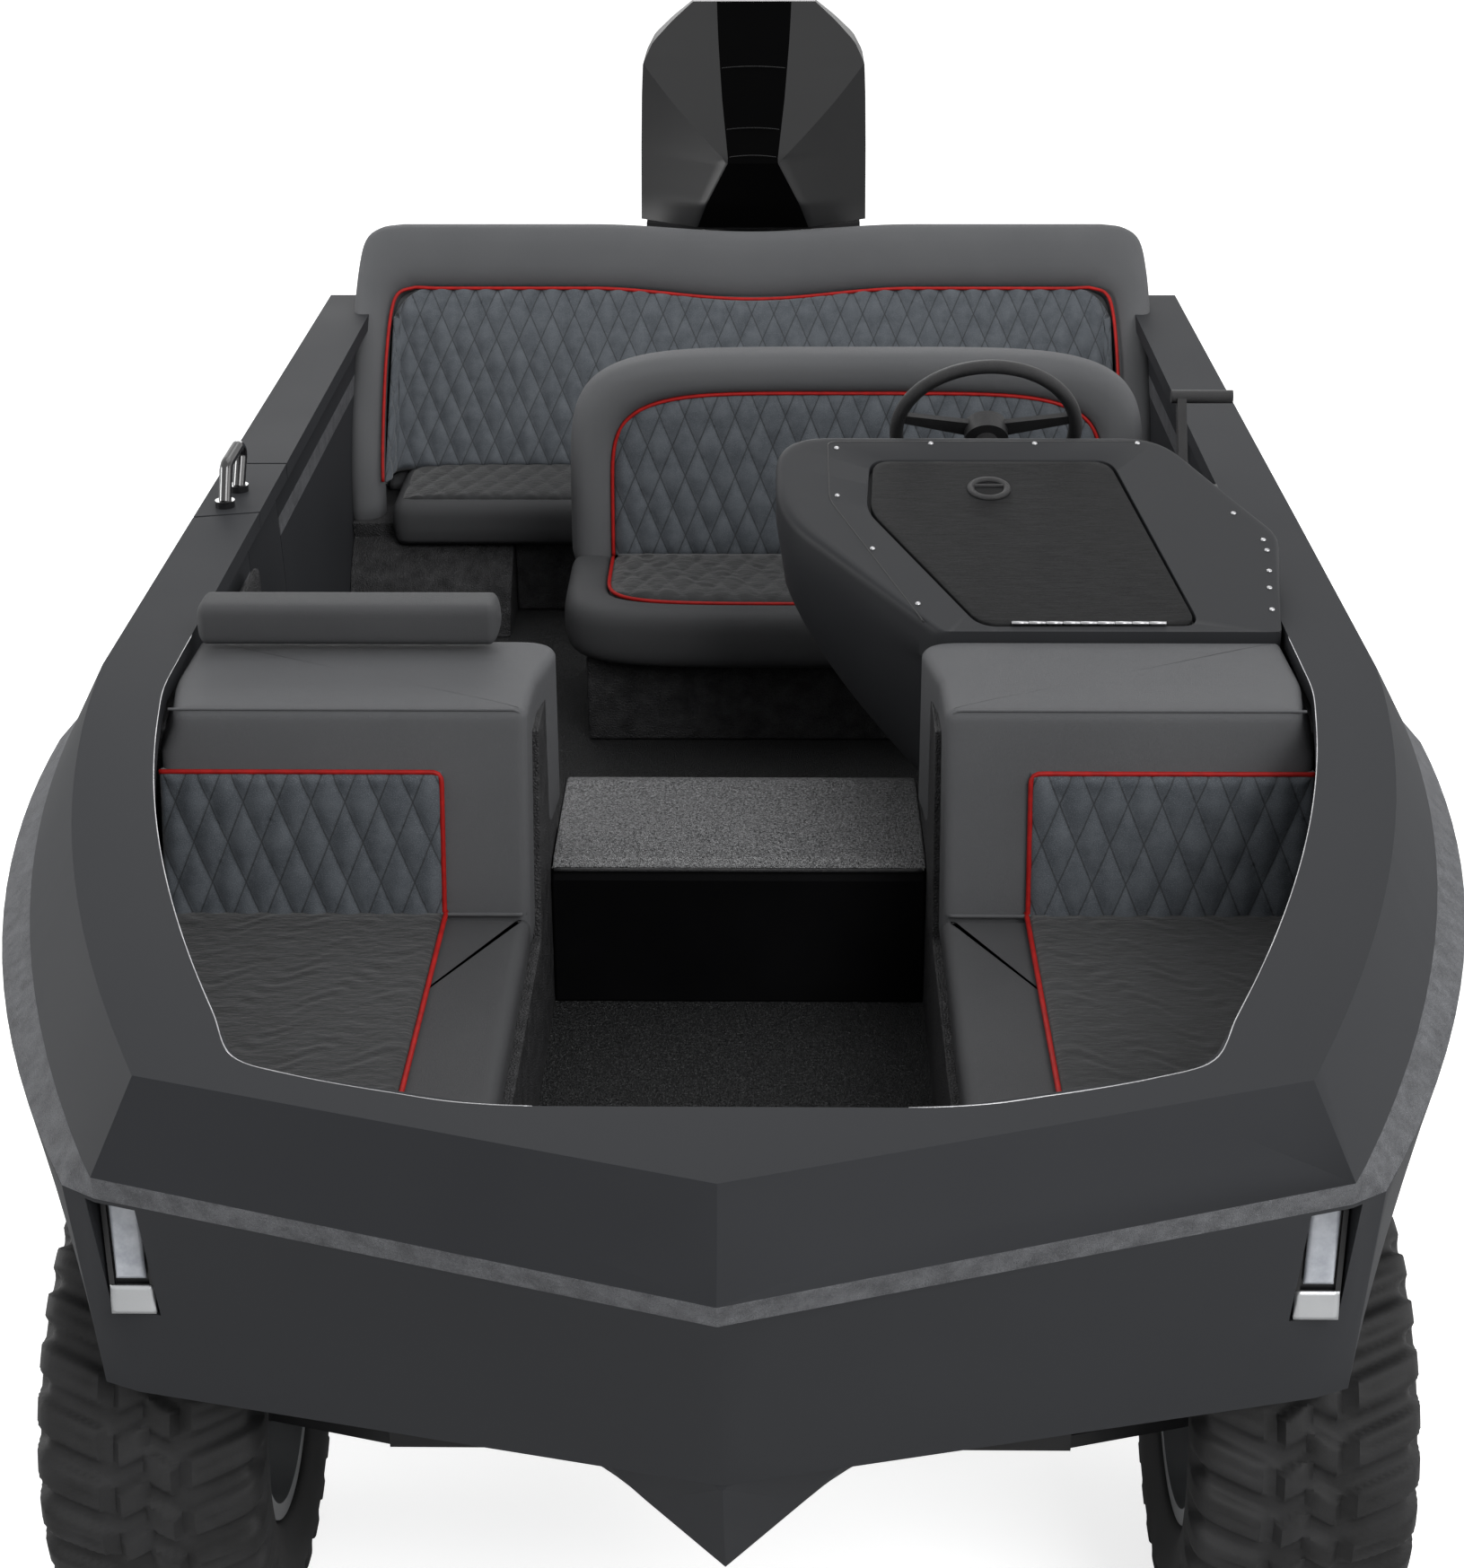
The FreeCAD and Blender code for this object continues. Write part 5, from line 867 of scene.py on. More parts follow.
def makeDriverSeat():
    d = driver
    # back: core, fat roll, quilted panel, piping
    outline = evenly(arched(d["outerHalf"] - 0.03, d["outerTop"] - 0.03, d["low"] + 0.01), 200, closed=True)
    rear = d["rear"] - 0.004
    profile = [(0.03, rear - 0.06, 0.5), (0.03, rear - 0.06, 1.0), (0.012, rear - 0.05, 1.0),
               (0.0, rear - 0.03, 1.0), (0.003, rear - 0.01, 1.0), (0.012, rear - 0.002, 1.0),
               (0.012, rear + 0.001, 0.93), (0.012, rear + 0.003, 0.7), (0.012, rear + 0.003, 0.1)]
    stacked("driverBackCore", outline, profile, "seatVinyl", plane="xz", centre=(d["middle"], 0.84))
    inner, outer = (arched(half, top, d["low"] + 0.055) for half, top in
                    ((d["innerHalf"] - 0.004, d["innerTop"] - 0.004), (d["outerHalf"], d["outerTop"])))
    middleZ = (inner[:, 1] + outer[:, 1]) / 2
    face = driverFace(middleZ)
    centre = (face + d["rear"]) / 2
    lift = [np.column_stack((c[:, 0], centre, c[:, 1])) for c in (inner, outer)]
    roll("driverBackRoll", *lift, (0, -1, 0), d["rear"] - face, square=2.5, ends=0.05, sides=32,
         nodes=("driver_back",))
    wide, low = 2 * d["innerHalf"], d["cushionTop"] - 0.005
    u = np.linspace(0, 1, int(wide / quilt["step"]))[None, :]
    v = np.linspace(0, 1, int((d["innerTop"] - low) / quilt["step"]))[:, None]
    x = d["middle"] + d["innerHalf"] * (2 * u - 1) * 0.996 + 0 * v
    share = np.clip(1 - np.abs((x - d["middle"]) / d["innerHalf"]) ** d["square"], 0, 1)
    crest = d["sideTop"] + (d["innerTop"] - d["sideTop"]) * share ** (1 / d["square"])
    z = low + v * (crest - low)
    lift = 0.010 * edgeDrop(u, v, 0.12) + puffed(x, z) * edgeDrop(u, v, 0.03)
    recess = 0.030
    front = np.stack((x, driverFace(z) + recess - lift, z), axis=-1)
    back = np.stack((x, driverFace(z) + recess + 0.02, z), axis=-1)
    slab("driverQuilt", front, back, "quiltSuede", uv=np.stack((x, z), axis=-1))
    pipe = arched(d["innerHalf"], d["innerTop"], low)
    tube("driverBackPipe", np.column_stack((pipe[:, 0], driverFace(pipe[:, 1]) + 0.022, pipe[:, 1])),
         0.0037, (0, -1, 0.15))

    # cushion: core, roll round the front and sides, suede top, piping; roll and suede top take the darker copies of
    # vinyl and suede, with painted shade
    half, ahead = d["outerHalf"] - 0.042, d["outerFront"] + 0.042
    corners = ((d["middle"] - half, ahead), (d["middle"] + half, ahead),
               (d["middle"] + half, 0.645), (d["middle"] - half, 0.645))
    outline = evenly(cornered(corners, (0.10, 0.10, 0.01, 0.01)), 160, closed=True)
    low, top = d["cushionLow"], d["cushionTop"] - 0.02
    profile = [(0.01, low, 0.5), (0.01, low, 1.0), (0.0, low + 0.01, 1.0), (0.0, top - 0.01, 1.0),
               (0.006, top, 1.0), (0.01, top, 0.5)]
    stacked("driverCushionCore", outline, profile, "seatVinyl")
    inner, outer = yoked(d["innerHalf"] - 0.004, d["innerFront"] + 0.004), yoked(d["outerHalf"], d["outerFront"])
    height = (d["cushionLow"] + d["cushionTop"]) / 2
    lift = [np.column_stack((c, np.full(len(c), height))) for c in (inner, outer)]
    roll("driverCushionRoll", *lift, (0, 0, 1), d["cushionTop"] - d["cushionLow"] + 0.008, square=2.9,
         ends=0.03, sides=32, nodes=("driver_cushion",), look="shadedVinyl")
    rear = 0.52
    u = np.linspace(0, 1, 200)[None, :]
    v = np.linspace(0, 1, 64)[:, None]
    x = d["middle"] + d["innerHalf"] * (2 * u - 1) * 0.996 + 0 * v
    share = np.clip(1 - np.abs((x - d["middle"]) / d["innerHalf"]) ** 5.5, 0, 1)
    nose = d["sideFront"] - (d["sideFront"] - d["innerFront"]) * share ** (1 / 5.5)
    y = rear + v * (nose - rear)
    z = d["cushionTop"] - 0.010 + 0.016 * edgeDrop(u, v, 0.12) + rippled(x, y) * edgeDrop(u, v, 0.1)
    z = z + 0.45 * puffed(x, y) * edgeDrop(u, v, 0.05)
    front = np.stack((x, y, z), axis=-1)
    back = np.stack((x, y, np.full_like(z, d["cushionTop"] - 0.03)), axis=-1)
    slab("driverSuede", front, back, "shadedQuiltSuede", uv=np.stack((x, y), axis=-1))
    pipe = yoked(d["innerHalf"], d["innerFront"])
    pipe = pipe[pipe[:, 1] < driverFace(d["cushionTop"]) + 0.01]
    tube("driverCushionPipe", np.column_stack((pipe, np.full(len(pipe), d["cushionTop"] - 0.002))),
         0.0037, (0, 0, 1))
    x = np.linspace(d["middle"] - d["innerHalf"] + 0.01, d["middle"] + d["innerHalf"] - 0.01, 60)
    tube("driverFoldWelt", np.column_stack((x, np.full(60, driverFace(0.715) + 0.012), np.full(60, 0.716))),
         0.0036, (0, 0, 1), look="seatVinyl")


rear = {
    "half": 0.790, "outerHalf": 0.868, "low": 0.69, "backY": 1.165, "recline": 0.64,
    "innerTop": 1.035, "outerTop": 1.170, "dip": 0.024, "dipHalf": 0.36, "armLow": 0.600,
    "cushionTop": 0.690, "cushionLow": 0.592, "cushionFront": 0.917, "cushionHalf": 0.762,
}
# the wrap-round arm's edges, from its lower front end up to the top: x, y, z on the right-hand side
rearArm = {
    "inner": ((0.786, 0.990, 0.615), (0.791, 1.05, 0.728), (0.796, 1.14, 0.817), (0.798, 1.24, 0.914),
              (0.795, 1.335, 0.990), (0.781, 1.370, 1.024), (0.745, 1.384, 1.035)),
    "outer": ((0.856, 0.975, 0.600), (0.864, 1.02, 0.708), (0.868, 1.09, 0.805), (0.873, 1.19, 0.893),
              (0.877, 1.30, 0.998), (0.872, 1.38, 1.089), (0.858, 1.416, 1.142), (0.825, 1.428, 1.163),
              (0.775, 1.430, 1.170)),
}


def smooth(points, count):
    # a Catmull-Rom curve through the points: cubic pieces whose slopes follow their neighbours
    points = np.asarray(points, dtype=float)
    ends = np.vstack((2 * points[0] - points[1], points, 2 * points[-1] - points[-2]))
    t = np.linspace(0, 1, 24, endpoint=False)[:, None]
    a, b, c, e = ends[:-3, None], ends[1:-2, None], ends[2:-1, None], ends[3:, None]
    curve = 0.5 * (2 * b + (c - a) * t + (2 * a - 5 * b + 4 * c - e) * t ** 2
                   + (3 * b - a - 3 * c + e) * t ** 3)
    return evenly(np.vstack((curve.reshape(-1, points.shape[1]), points[-1:])), count)


def dipAt(x):
    # one cosine valley in the middle of the top
    return rear["dip"] * 0.5 * (1 + np.cos(np.pi * np.clip(np.abs(x) / rear["dipHalf"], 0, 1)))


def rearEdge(which, top, y, share=1.0, count=300):
    # arm, top with its dip, and the mirrored arm, as one curve
    arm = smooth(rearArm[which], 80)
    left = arm * (-1, 1, 1)
    x = np.linspace(-rearArm[which][-1][0], rearArm[which][-1][0], 160)[1:-1]
    across = np.column_stack((x, np.full(len(x), y), top - share * dipAt(x)))
    return evenly(np.vstack((left, across, arm[::-1])), count)


def makeRearSeat():
    r = rear
    inner = rearEdge("inner", r["innerTop"], 1.384)
    outer = rearEdge("outer", r["outerTop"], 1.430, share=0.7)
    # the arms face up and forward, the top faces forward
    side = np.clip((np.abs(inner[:, :1]) - 0.70) / 0.09, 0, 1)
    facing = (1 - side) * np.array(((0, -1, 0.28),)) + side * np.array(((0, -0.80, 0.60),))
    depth = 0.095
    shift = unit(facing) * -depth * 0.32
    roll("rearBackRoll", inner + shift, outer + shift, facing, depth, square=2.5, ends=0.045, sides=32,
         nodes=("rear_back",))

    # quilted panel: across the back and round into both arms
    turn = np.linspace(np.pi, 0, 900)
    plan = np.column_stack((r["half"] * power(np.cos(turn), 2 / 9), power(np.sin(turn), 2 / 9)))
    scaled = evenly(plan * (1, 0.115), 2 * 190)
    x = scaled[:, 0][None, :]
    inwards = (scaled[:, 1] / 0.115)[None, :]
    along = np.concatenate(([0], np.cumsum(np.linalg.norm(np.diff(scaled, axis=0), axis=1))))[None, :]
    along = along - along[0, -1] / 2
    side = np.clip((np.abs(x) - 0.70) / 0.09, 0, 1) ** 3
    crest = r["innerTop"] - dipAt(x) - 0.05 * side
    rows = int((r["innerTop"] - r["low"]) * 1.19 / quilt["step"])
    v = np.linspace(0, 1, rows)[:, None]
    z = r["low"] + v * (crest - r["low"])
    rise = z - r["low"]
    depthSide = 0.115 - 0.27 * rise
    y = r["backY"] + r["recline"] * rise - depthSide * (1 - inwards)
    q = rise * 1.19
    p = along + 0 * v
    # outward push: along the panel's own normal, forward across the back and inward on the sides
    flat = np.stack((x + 0 * v, y, z), axis=-1)
    normal = unit(np.cross(np.gradient(flat, axis=1), np.gradient(flat, axis=0)))
    normal = normal * np.where(normal[..., 1:2] > 0, -1, 1)
    u = np.linspace(0, 1, flat.shape[1])[None, :]
    swell = 0.008 * edgeDrop(u, v, 0.06) + puffed(p, q) * edgeDrop(u, v, 0.02)
    front = flat + normal * swell[..., None]
    back = flat + np.array((0, 0.045, -0.02))
    slab("rearQuilt", front, back, "quiltSuede", uv=np.stack((p, q), axis=-1))
    pipe = inner + unit(facing) * 0.012
    pipe = pipe[pipe[:, 2] > 0.70]
    tube("rearBackPipe", pipe, 0.0037, (0, -1, 0.45))

    # core behind the panel, down to the bench
    x = np.linspace(-0.80, 0.80, 120)[None, :]
    v = np.linspace(0, 1, 30)[:, None]
    z = 0.632 + v * (r["outerTop"] - 0.05 - dipAt(x) - 0.632)
    yFront = r["backY"] + r["recline"] * np.clip(z - r["low"], 0, 1) + 0.02
    yRear = np.minimum(1.452 + 0 * x, yFront + 0.20) + 0 * v
    front = np.stack((x + 0 * v, np.minimum(yFront, yRear - 0.03), z), axis=-1)
    back = np.stack((x + 0 * v, yRear, z), axis=-1)
    slab("rearBackCore", front, back, "seatVinyl")

    # cushion: vinyl body with a rolled front, suede top; both take the darker copies of vinyl and suede, with painted
    # shade
    half = r["cushionHalf"]
    corners = ((-half, r["cushionFront"]), (half, r["cushionFront"]), (half, 1.28), (-half, 1.28))
    outline = evenly(cornered(corners, (0.035, 0.035, 0.01, 0.01)), 240, closed=True)
    low, top = r["cushionLow"], r["cushionTop"]
    bend = np.linspace(0, np.pi / 2, 7)
    profile = [(0.03, low + 0.012, 0.4), (0.03, low + 0.012, 1.0), (0.012, low + 0.002, 1.0),
               (0.003, low + 0.014, 1.0), (0.0, low + 0.04, 1.0)]
    profile += [(0.03 * (1 - np.cos(a)), top - 0.034 + 0.034 * np.sin(a), 1.0) for a in bend]
    profile += [(0.03, top, 0.9), (0.03, top, 0.1)]
    stacked("rearCushion", outline, profile, "shadedVinyl", centre=(0, 1.10), nodes=("rear_cushion",))
    x = np.linspace(-half + 0.02, half - 0.02, 300)[None, :]
    v = np.linspace(0, 1, 50)[:, None]
    y = 1.19 + v * (r["cushionFront"] + 0.024 - 1.19)
    u = np.linspace(0, 1, 300)[None, :]
    z = top - 0.004 + 0.010 * edgeDrop(u, v, 0.10) + 0.45 * puffed(x, y) * edgeDrop(u, v, 0.03)
    front = np.stack((x + 0 * v, y + 0 * u, z), axis=-1)
    back = np.stack((x + 0 * v, y + 0 * u, np.full_like(z, top - 0.03)), axis=-1)
    slab("rearSuede", front, back, "shadedQuiltSuede", uv=np.stack((x + 0 * v, y + 0 * u), axis=-1))
    print("benches ready")


# Tyres: one grid round the wheel and over its profile, cut by grooves between chevron lugs
tyre = {
    "radius": 0.300, "lugs": 27, "perLug": 16, "rows": 62, "groove": 0.0125, "sipe": 0.004,
    "side": ((0.1057, 0.1660), (0.1062, 0.1800), (0.1220, 0.1850), (0.1365, 0.2180), (0.1392, 0.2540),
             (0.1335, 0.2830), (0.1120, 0.2955), (0.0500, 0.2995)),   # along the axle, out from it
}
wheels = {
    # body's last words: side, centre along the boat
    "front_left": (0.708, -1.588), "front_right": (-0.708, -1.588),
    "rear_left": (0.708, 1.100), "rear_right": (-0.708, 1.100),
}


def blockMask(place, share, soft):
    # 1 on a block that fills the share of each whole step, 0 between, with slopes of the soft width
    inside = share / 2 - np.abs((place % 1) - 0.5)
    return np.clip(0.5 + inside / soft, 0, 1)


def treadShape(side):
    half = smooth(tyre["side"], 60)
    profile = evenly(np.vstack((half * (-1, 1), half[::-1])), tyre["rows"])
    arc = np.concatenate(([0], np.cumsum(np.linalg.norm(np.diff(profile, axis=0), axis=1))))
    s = (arc - arc[-1] / 2)[:, None]
    around = tyre["lugs"] * tyre["perLug"]
    turn = np.arange(around)[None, :] / tyre["perLug"]
    reach = np.abs(s)
    hand = np.sign(s)
    # shoulder lugs slant back as they run out, centre lugs slant the other way, half a step ahead
    shoulder = blockMask(turn + 6.5 * reach + 0.25 * hand, 0.62, 0.14)
    shoulder = shoulder * np.clip((reach - 0.046) / 0.007, 0, 1)
    middle = blockMask(turn - 9.0 * reach + 0.25 * hand + 0.5, 0.60, 0.14)
    middle = middle * np.clip((0.041 - reach) / 0.006, 0, 1) * np.clip((reach - 0.0015) / 0.004, 0, 1)
    lug = np.maximum(shoulder, middle)
    cut = np.clip(1 - np.abs((turn + 6.5 * reach + 0.25 * hand) % 1 - 0.5) / 0.05, 0, 1)
    cut = cut * np.clip((reach - 0.060) / 0.01, 0, 1) * np.clip((0.118 - reach) / 0.01, 0, 1)
    wall = np.clip((0.168 - reach) / 0.012, 0, 1)
    depth = wall * (tyre["groove"] * (1 - lug) + tyre["sipe"] * cut)
    slope = unit(np.gradient(profile, axis=0))
    outward = np.stack((-slope[:, 1], slope[:, 0]), axis=1)
    along = profile[:, :1] - outward[:, :1] * depth
    out = profile[:, 1:] - outward[:, 1:] * depth
    angle = 2 * np.pi * turn / tyre["lugs"]
    return np.stack((side * along, out * np.cos(angle), out * np.sin(angle)), axis=-1)


rim = {
    "bore": 0.020, "hub": 0.056, "hubOut": 0.076, "openings": 8, "openingPlace": 0.108, "openingRadius": 0.023,
    "depth": 0.015, "nuts": 5, "nutPlace": 0.041, "nutRadius": 0.0095, "nutHeight": 0.011,
    "profile": ((0.076, 0.0005), (0.076, 0.030), (0.076, 0.054), (0.066, 0.072), (0.0685, 0.085),
                (0.0715, 0.097), (0.0745, 0.109), (0.0775, 0.121), (0.0805, 0.134), (0.084, 0.153),
                (0.100, 0.1565), (0.117, 0.158), (0.1178, 0.178), (0.110, 0.179), (0.106, 0.166),
                (-0.106, 0.166), (-0.110, 0.179), (-0.1178, 0.178), (-0.118, 0.157), (0.05, 0.150),
                (0.050, 0.066), (0.026, 0.048), (0.026, 0.0005)),
}


def makeWheel(name):
    across, along = wheels[name]
    side = 1 if across > 0 else -1
    centre = np.array((across, along, tyre["radius"]))
    body = "wheel_" + name
    word = name.replace("_", "").replace("left", "Left").replace("right", "Right")
    tread = treadShape(side)
    rows, columns = tread.shape[:2]
    inner = tread[[-1, 0]] * (1, 0.985, 0.985)
    shape = np.concatenate((tread, inner))
    makePiece("tyre." + word, shape + centre, quads(rows + 2, columns, True, True), "tyreRubber",
              body, ("tyre_" + name,), sharp=38)

    # rim: its profile turned round the axle, with a pocket at each opening of the disc; the pockets' floors are
    # painted black, painted shade for the open holes
    face = np.array(rim["profile"])
    fine = np.vstack([np.linspace(a, b, 7)[:-1] if 0.07 < a[1] < 0.15 and a[0] > 0.06 and b[0] > 0.06
                      else a[None] for a, b in zip(face, face[1:])] + [face[-1:]])
    turn = np.linspace(0, 2 * np.pi, 160, endpoint=False)[None, :]
    out, x = fine[:, 1:], fine[:, :1]
    nearest = (turn * rim["openings"] / (2 * np.pi)) % 1 - 0.5
    sweep = nearest * 2 * np.pi / rim["openings"] * rim["openingPlace"]
    far = np.sqrt(sweep ** 2 + (out - rim["openingPlace"]) ** 2)
    pocket = np.clip((rim["openingRadius"] - far) / 0.003, 0, 1) * (x > 0.06)
    shape = np.stack((side * (x - rim["depth"] * pocket), out * np.cos(turn), out * np.sin(turn)), axis=-1)
    rows = len(fine)
    faces = quads(rows, 160, wrapColumns=True)
    # painted shade: the pocket faces take the black paint, standing in for the dark seen through the disc's open holes
    dark = (pocket[:-1] > 0.6) & (pocket[1:] > 0.6)
    piece = makePiece("rim." + word, shape + centre,
                      faces + [list(range(160)), list(range((rows - 1) * 160, rows * 160))],
                      "rimSilver", body, ("rim_" + name,), sharp=32)
    piece.data.materials.append(materials["chassisBlack"])
    flags = np.concatenate((dark.ravel().astype(np.int32), np.zeros(2, dtype=np.int32)))
    piece.data.polygons.foreach_set("material_index", flags)

    # wheel nuts in a ring, and a domed cap
    hexagon = np.linspace(0, 2 * np.pi, 6, endpoint=False)
    place = np.linspace(0, 2 * np.pi, rim["nuts"], endpoint=False)[:, None, None]
    step = np.array(((0, 1.0), (0.75, 1.0), (1.0, 0.75)))[None, :, None]
    high = rim["hubOut"] - 0.001 + rim["nutHeight"] * step[..., 0]
    wide = rim["nutRadius"] * step[..., 1]
    y = rim["nutPlace"] * np.cos(place) + wide * np.cos(hexagon)
    z = rim["nutPlace"] * np.sin(place) + wide * np.sin(hexagon)
    nuts = np.stack(np.broadcast_arrays(side * high, y, z), axis=-1)
    one = np.array(quads(3, 6, wrapColumns=True))
    faces = [(one + 18 * k).tolist() for k in range(rim["nuts"])]
    faces = sum(faces, []) + [[18 * k + j for j in range(12, 18)] for k in range(rim["nuts"])]
    faces += [[18 * k + j for j in range(6)] for k in range(rim["nuts"])]
    makePiece("wheelNuts." + word, nuts + centre, faces, "steelParts", body, sharp=30)
    bend = np.linspace(0, np.pi / 2, 8)[:, None]
    ring = np.linspace(0, 2 * np.pi, 40, endpoint=False)[None, :]
    cap = np.stack(np.broadcast_arrays(side * (rim["hubOut"] - 0.001 + 0.012 * np.sin(bend)),
                                       (0.0275 * np.cos(bend) + 0.0005) * np.cos(ring),
                                       (0.0275 * np.cos(bend) + 0.0005) * np.sin(ring)), axis=-1)
    makePiece("wheelCap." + word, cap + centre,
              quads(8, 40, wrapColumns=True) + [list(range(40)), list(range(280, 320))],
              "chassisBlack", body, sharp=50)


# Console: rounded pod, hatch with its hinge and latch, screws
pod = {
    "front": -0.639, "rear": -0.110, "right": 0.056, "rightBreak": 0.594, "frontRight": 0.306,
    "frontLeft": 0.833, "outer": 0.839, "outerBreak": 0.49, "rearLeft": 0.70, "overhang": 0.028,
    "rounding": (0.075, 0.085, 0.006, 0.006, 0.02, 0.06), "footInset": 0.330, "swell": 1.6,
    "swellTop": 1.010, "swellDepth": 0.45,
    "roll": ((0.030, 0.0), (0.017, 0.0), (0.010, 0.0012), (0.005, 0.004), (0.0015, 0.009), (0, 0.016), (0, 0.036)),
    "hatch": ((0.218, 0.862), (0.210, 0.594), (0.372, 0.038), (0.706, 0.038), (0.611, 0.862)),
    "hatchRounding": 0.030, "gap": 0.005,
    "thick": 0.014, "count": 260,
}


def podY(share):
    return -0.640 + share * 0.530


def podSlope(y):
    return 1.0 + 0.15 * (np.asarray(y) + 0.640) / 0.530


def podOutline(inset, overhang):
    p = pod
    corners = (
        (p["right"] + inset, p["rear"] - inset * 0.4),
        (p["right"] + inset, podY(p["rightBreak"]) - inset * 0.2),
        (p["frontRight"] + inset * 0.4, p["front"]), (p["frontLeft"], p["front"]),
        (p["outer"] + overhang, podY(p["outerBreak"])), (p["rearLeft"], p["rear"] - inset * 0.4),
    )
    return evenly(cornered(corners, p["rounding"]), p["count"], closed=True)


def hatchOutline(grow):
    corners = np.array([(x, podY(share)) for x, share in pod["hatch"]])
    middle = corners.mean(axis=0)
    corners = corners + unit(corners - middle) * grow * 1.3
    return evenly(cornered(corners, (pod["hatchRounding"],) * 5), pod["count"], closed=True)


def onSlope(outline, drop=0.0):
    return np.column_stack((outline, podSlope(outline[:, 1]) - drop))


def makeConsole():
    p = pod
    rings = [onSlope(hatchOutline(-0.035), 0.16), onSlope(hatchOutline(-0.035), p["thick"] + 0.002),
             onSlope(hatchOutline(p["gap"]), p["thick"] + 0.001), onSlope(hatchOutline(p["gap"]), 0.001),
             onSlope(hatchOutline(p["gap"] + 0.001), 0.0)]
    rings += [onSlope(podOutline(inset, p["overhang"] - inset), drop) for inset, drop in p["roll"]]
    rings.append(onSlope(podOutline(0, 0), 0.060))
    for share in np.linspace(0.15, 1, 16):
        outline = podOutline(p["footInset"] * share ** p["swell"], 0)
        rings.append(np.column_stack((outline, np.full(len(outline), p["swellTop"] - share * p["swellDepth"]))))
    rings = np.array(rings)
    count = p["count"]
    faces = quads(len(rings), count, wrapColumns=True)
    faces += [list(range(count)), list(range((len(rings) - 1) * count, len(rings) * count))]
    makePiece("consolePod", rings, faces, "consoleShell", "hull", ("console",), sharp=40)

    # pedestal under the pod, against the locker
    corners = ((0.60, -0.636), (0.83, -0.636), (0.83, -0.28), (0.60, -0.28))
    outline = evenly(cornered(corners, (0.02,) * 4), 120, closed=True)
    stacked("consoleFoot", outline, ((0, 0.431, 0.5), (0, 0.431, 1.0), (0.0, 0.72, 1.0), (0.0, 0.72, 0.5)),
            "consoleShell")

    # hatch plate
    rings = [onSlope(hatchOutline(-0.06), p["thick"]), onSlope(hatchOutline(-0.002), p["thick"]),
             onSlope(hatchOutline(0), p["thick"] - 0.002), onSlope(hatchOutline(0), 0.0015),
             onSlope(hatchOutline(-0.0005), 0.0005), onSlope(hatchOutline(-0.0015), 0.0),
             onSlope(hatchOutline(-0.010), 0.0)]
    rings = np.array(rings)
    faces = quads(len(rings), count, wrapColumns=True)
    faces += [list(range(count)), list(range((len(rings) - 1) * count, len(rings) * count))]
    makePiece("hatchPlate", rings, faces, "hatchBrushed", "lid", ("console_hatch",), sharp=40)

    # latch: an oval ring standing in the plate, with a bar across its rear half
    middle = np.array((0.407, podY(0.711)))
    turn = np.linspace(0, 2 * np.pi, 49)[:-1]
    path = np.column_stack((middle[0] + 0.030 * np.cos(turn), middle[1] + 0.026 * np.sin(turn)))
    path = onSlope(path, -0.001)
    tilt = np.array((0, -0.272, 0.962))
    outward = unit(path - path.mean(axis=0))
    ring = np.linspace(0, 2 * np.pi, 12, endpoint=False)
    rings = (path[:, None] + 0.0062 * np.cos(ring)[None, :, None] * outward[:, None]
             + 0.0040 * np.sin(ring)[None, :, None] * tilt)
    makePiece("latchRing", rings, quads(48, 12, True, True), "gripBlack", "lid")
    x = np.linspace(middle[0] - 0.025, middle[0] + 0.025, 12)
    bar = onSlope(np.column_stack((x, np.full(12, middle[1] + 0.008))), -0.0005)
    tube("latchBar", bar, 0.0035, (0, 0, 1), "gripBlack", "lid")

    # hinge: knuckles turn about between pod and lid
    for body, first in (("hull", 0), ("lid", 1)):
        for index in range(first, 9, 2):
            x = np.linspace(0.420 + index * 0.0265, 0.420 + index * 0.0265 + 0.0258, 3)
            line = np.column_stack((x, np.full(3, -0.6225), np.full(3, podSlope(-0.6225) + 0.0028)))
            tube(f"hinge.{index}", line, 0.0032, (0, 0, 1), "steelParts", body, 10)

    # seam of the inset plate, and dome screws
    seam = cornered(((0.665, -0.124), (0.143, -0.127), (0.144, -0.294), (0.292, -0.630)),
                    (0.0001, 0.012, 0.02, 0.0001))
    seam = evenly(seam[8:24], 90)
    seam = evenly(np.vstack(((0.665, -0.124), seam, (0.285, -0.615))), 160)
    tube("plateSeam", onSlope(seam, 0.0004), 0.0013, (0, 0, 1), "lampPlastic", "hull", 6)
    spots = np.array(((0.158, -0.145), (0.317, -0.131), (0.492, -0.131), (0.665, -0.130), (0.157, -0.282),
                      (0.211, -0.427), (0.278, -0.570), (0.800, -0.330), (0.838, -0.402), (0.840, -0.43),
                      (0.836, -0.484), (0.830, -0.528), (0.826, -0.583)))
    domes("podScrews", onSlope(spots, 0), 0.0048, 0.0026, tilt, "steelParts", "hull")
    print("console ready")


def domes(name, places, radius, height, up, look, body):
    # many flat domes in one mesh: rings drawn in by the cosine and raised by the sine
    up = unit(np.asarray(up, dtype=float))
    first = unit(np.cross(up, (0.31, 0.95, 0.05)))
    second = np.cross(up, first)
    bend = np.linspace(0, np.pi / 2 * 0.96, 4)[:, None, None]
    turn = np.linspace(0, 2 * np.pi, 12, endpoint=False)[None, :, None]
    one = (radius * np.cos(bend) * (np.cos(turn) * first + np.sin(turn) * second)
           + height * np.sin(bend) * up)
    points = places[:, None, None] + one[None]
    base = np.array(quads(4, 12, wrapColumns=True))
    faces = []
    for k in range(len(places)):
        faces += (base + 48 * k).tolist() + [[48 * k + j for j in range(12)],
                                             [48 * k + j for j in range(36, 48)]]
    return makePiece(name, points, faces, look, body)


# Head lamps: lens and the wedge under it, in front of the housing
lamp = {"in": 0.655, "out": 0.689, "low": 0.722, "high": 0.841, "face": -1.9625,
        "wedgeIn": 0.646, "wedgeOut": 0.697, "wedgeLow": 0.678, "wedgeHigh": 0.712, "wedgeFace": -1.969}


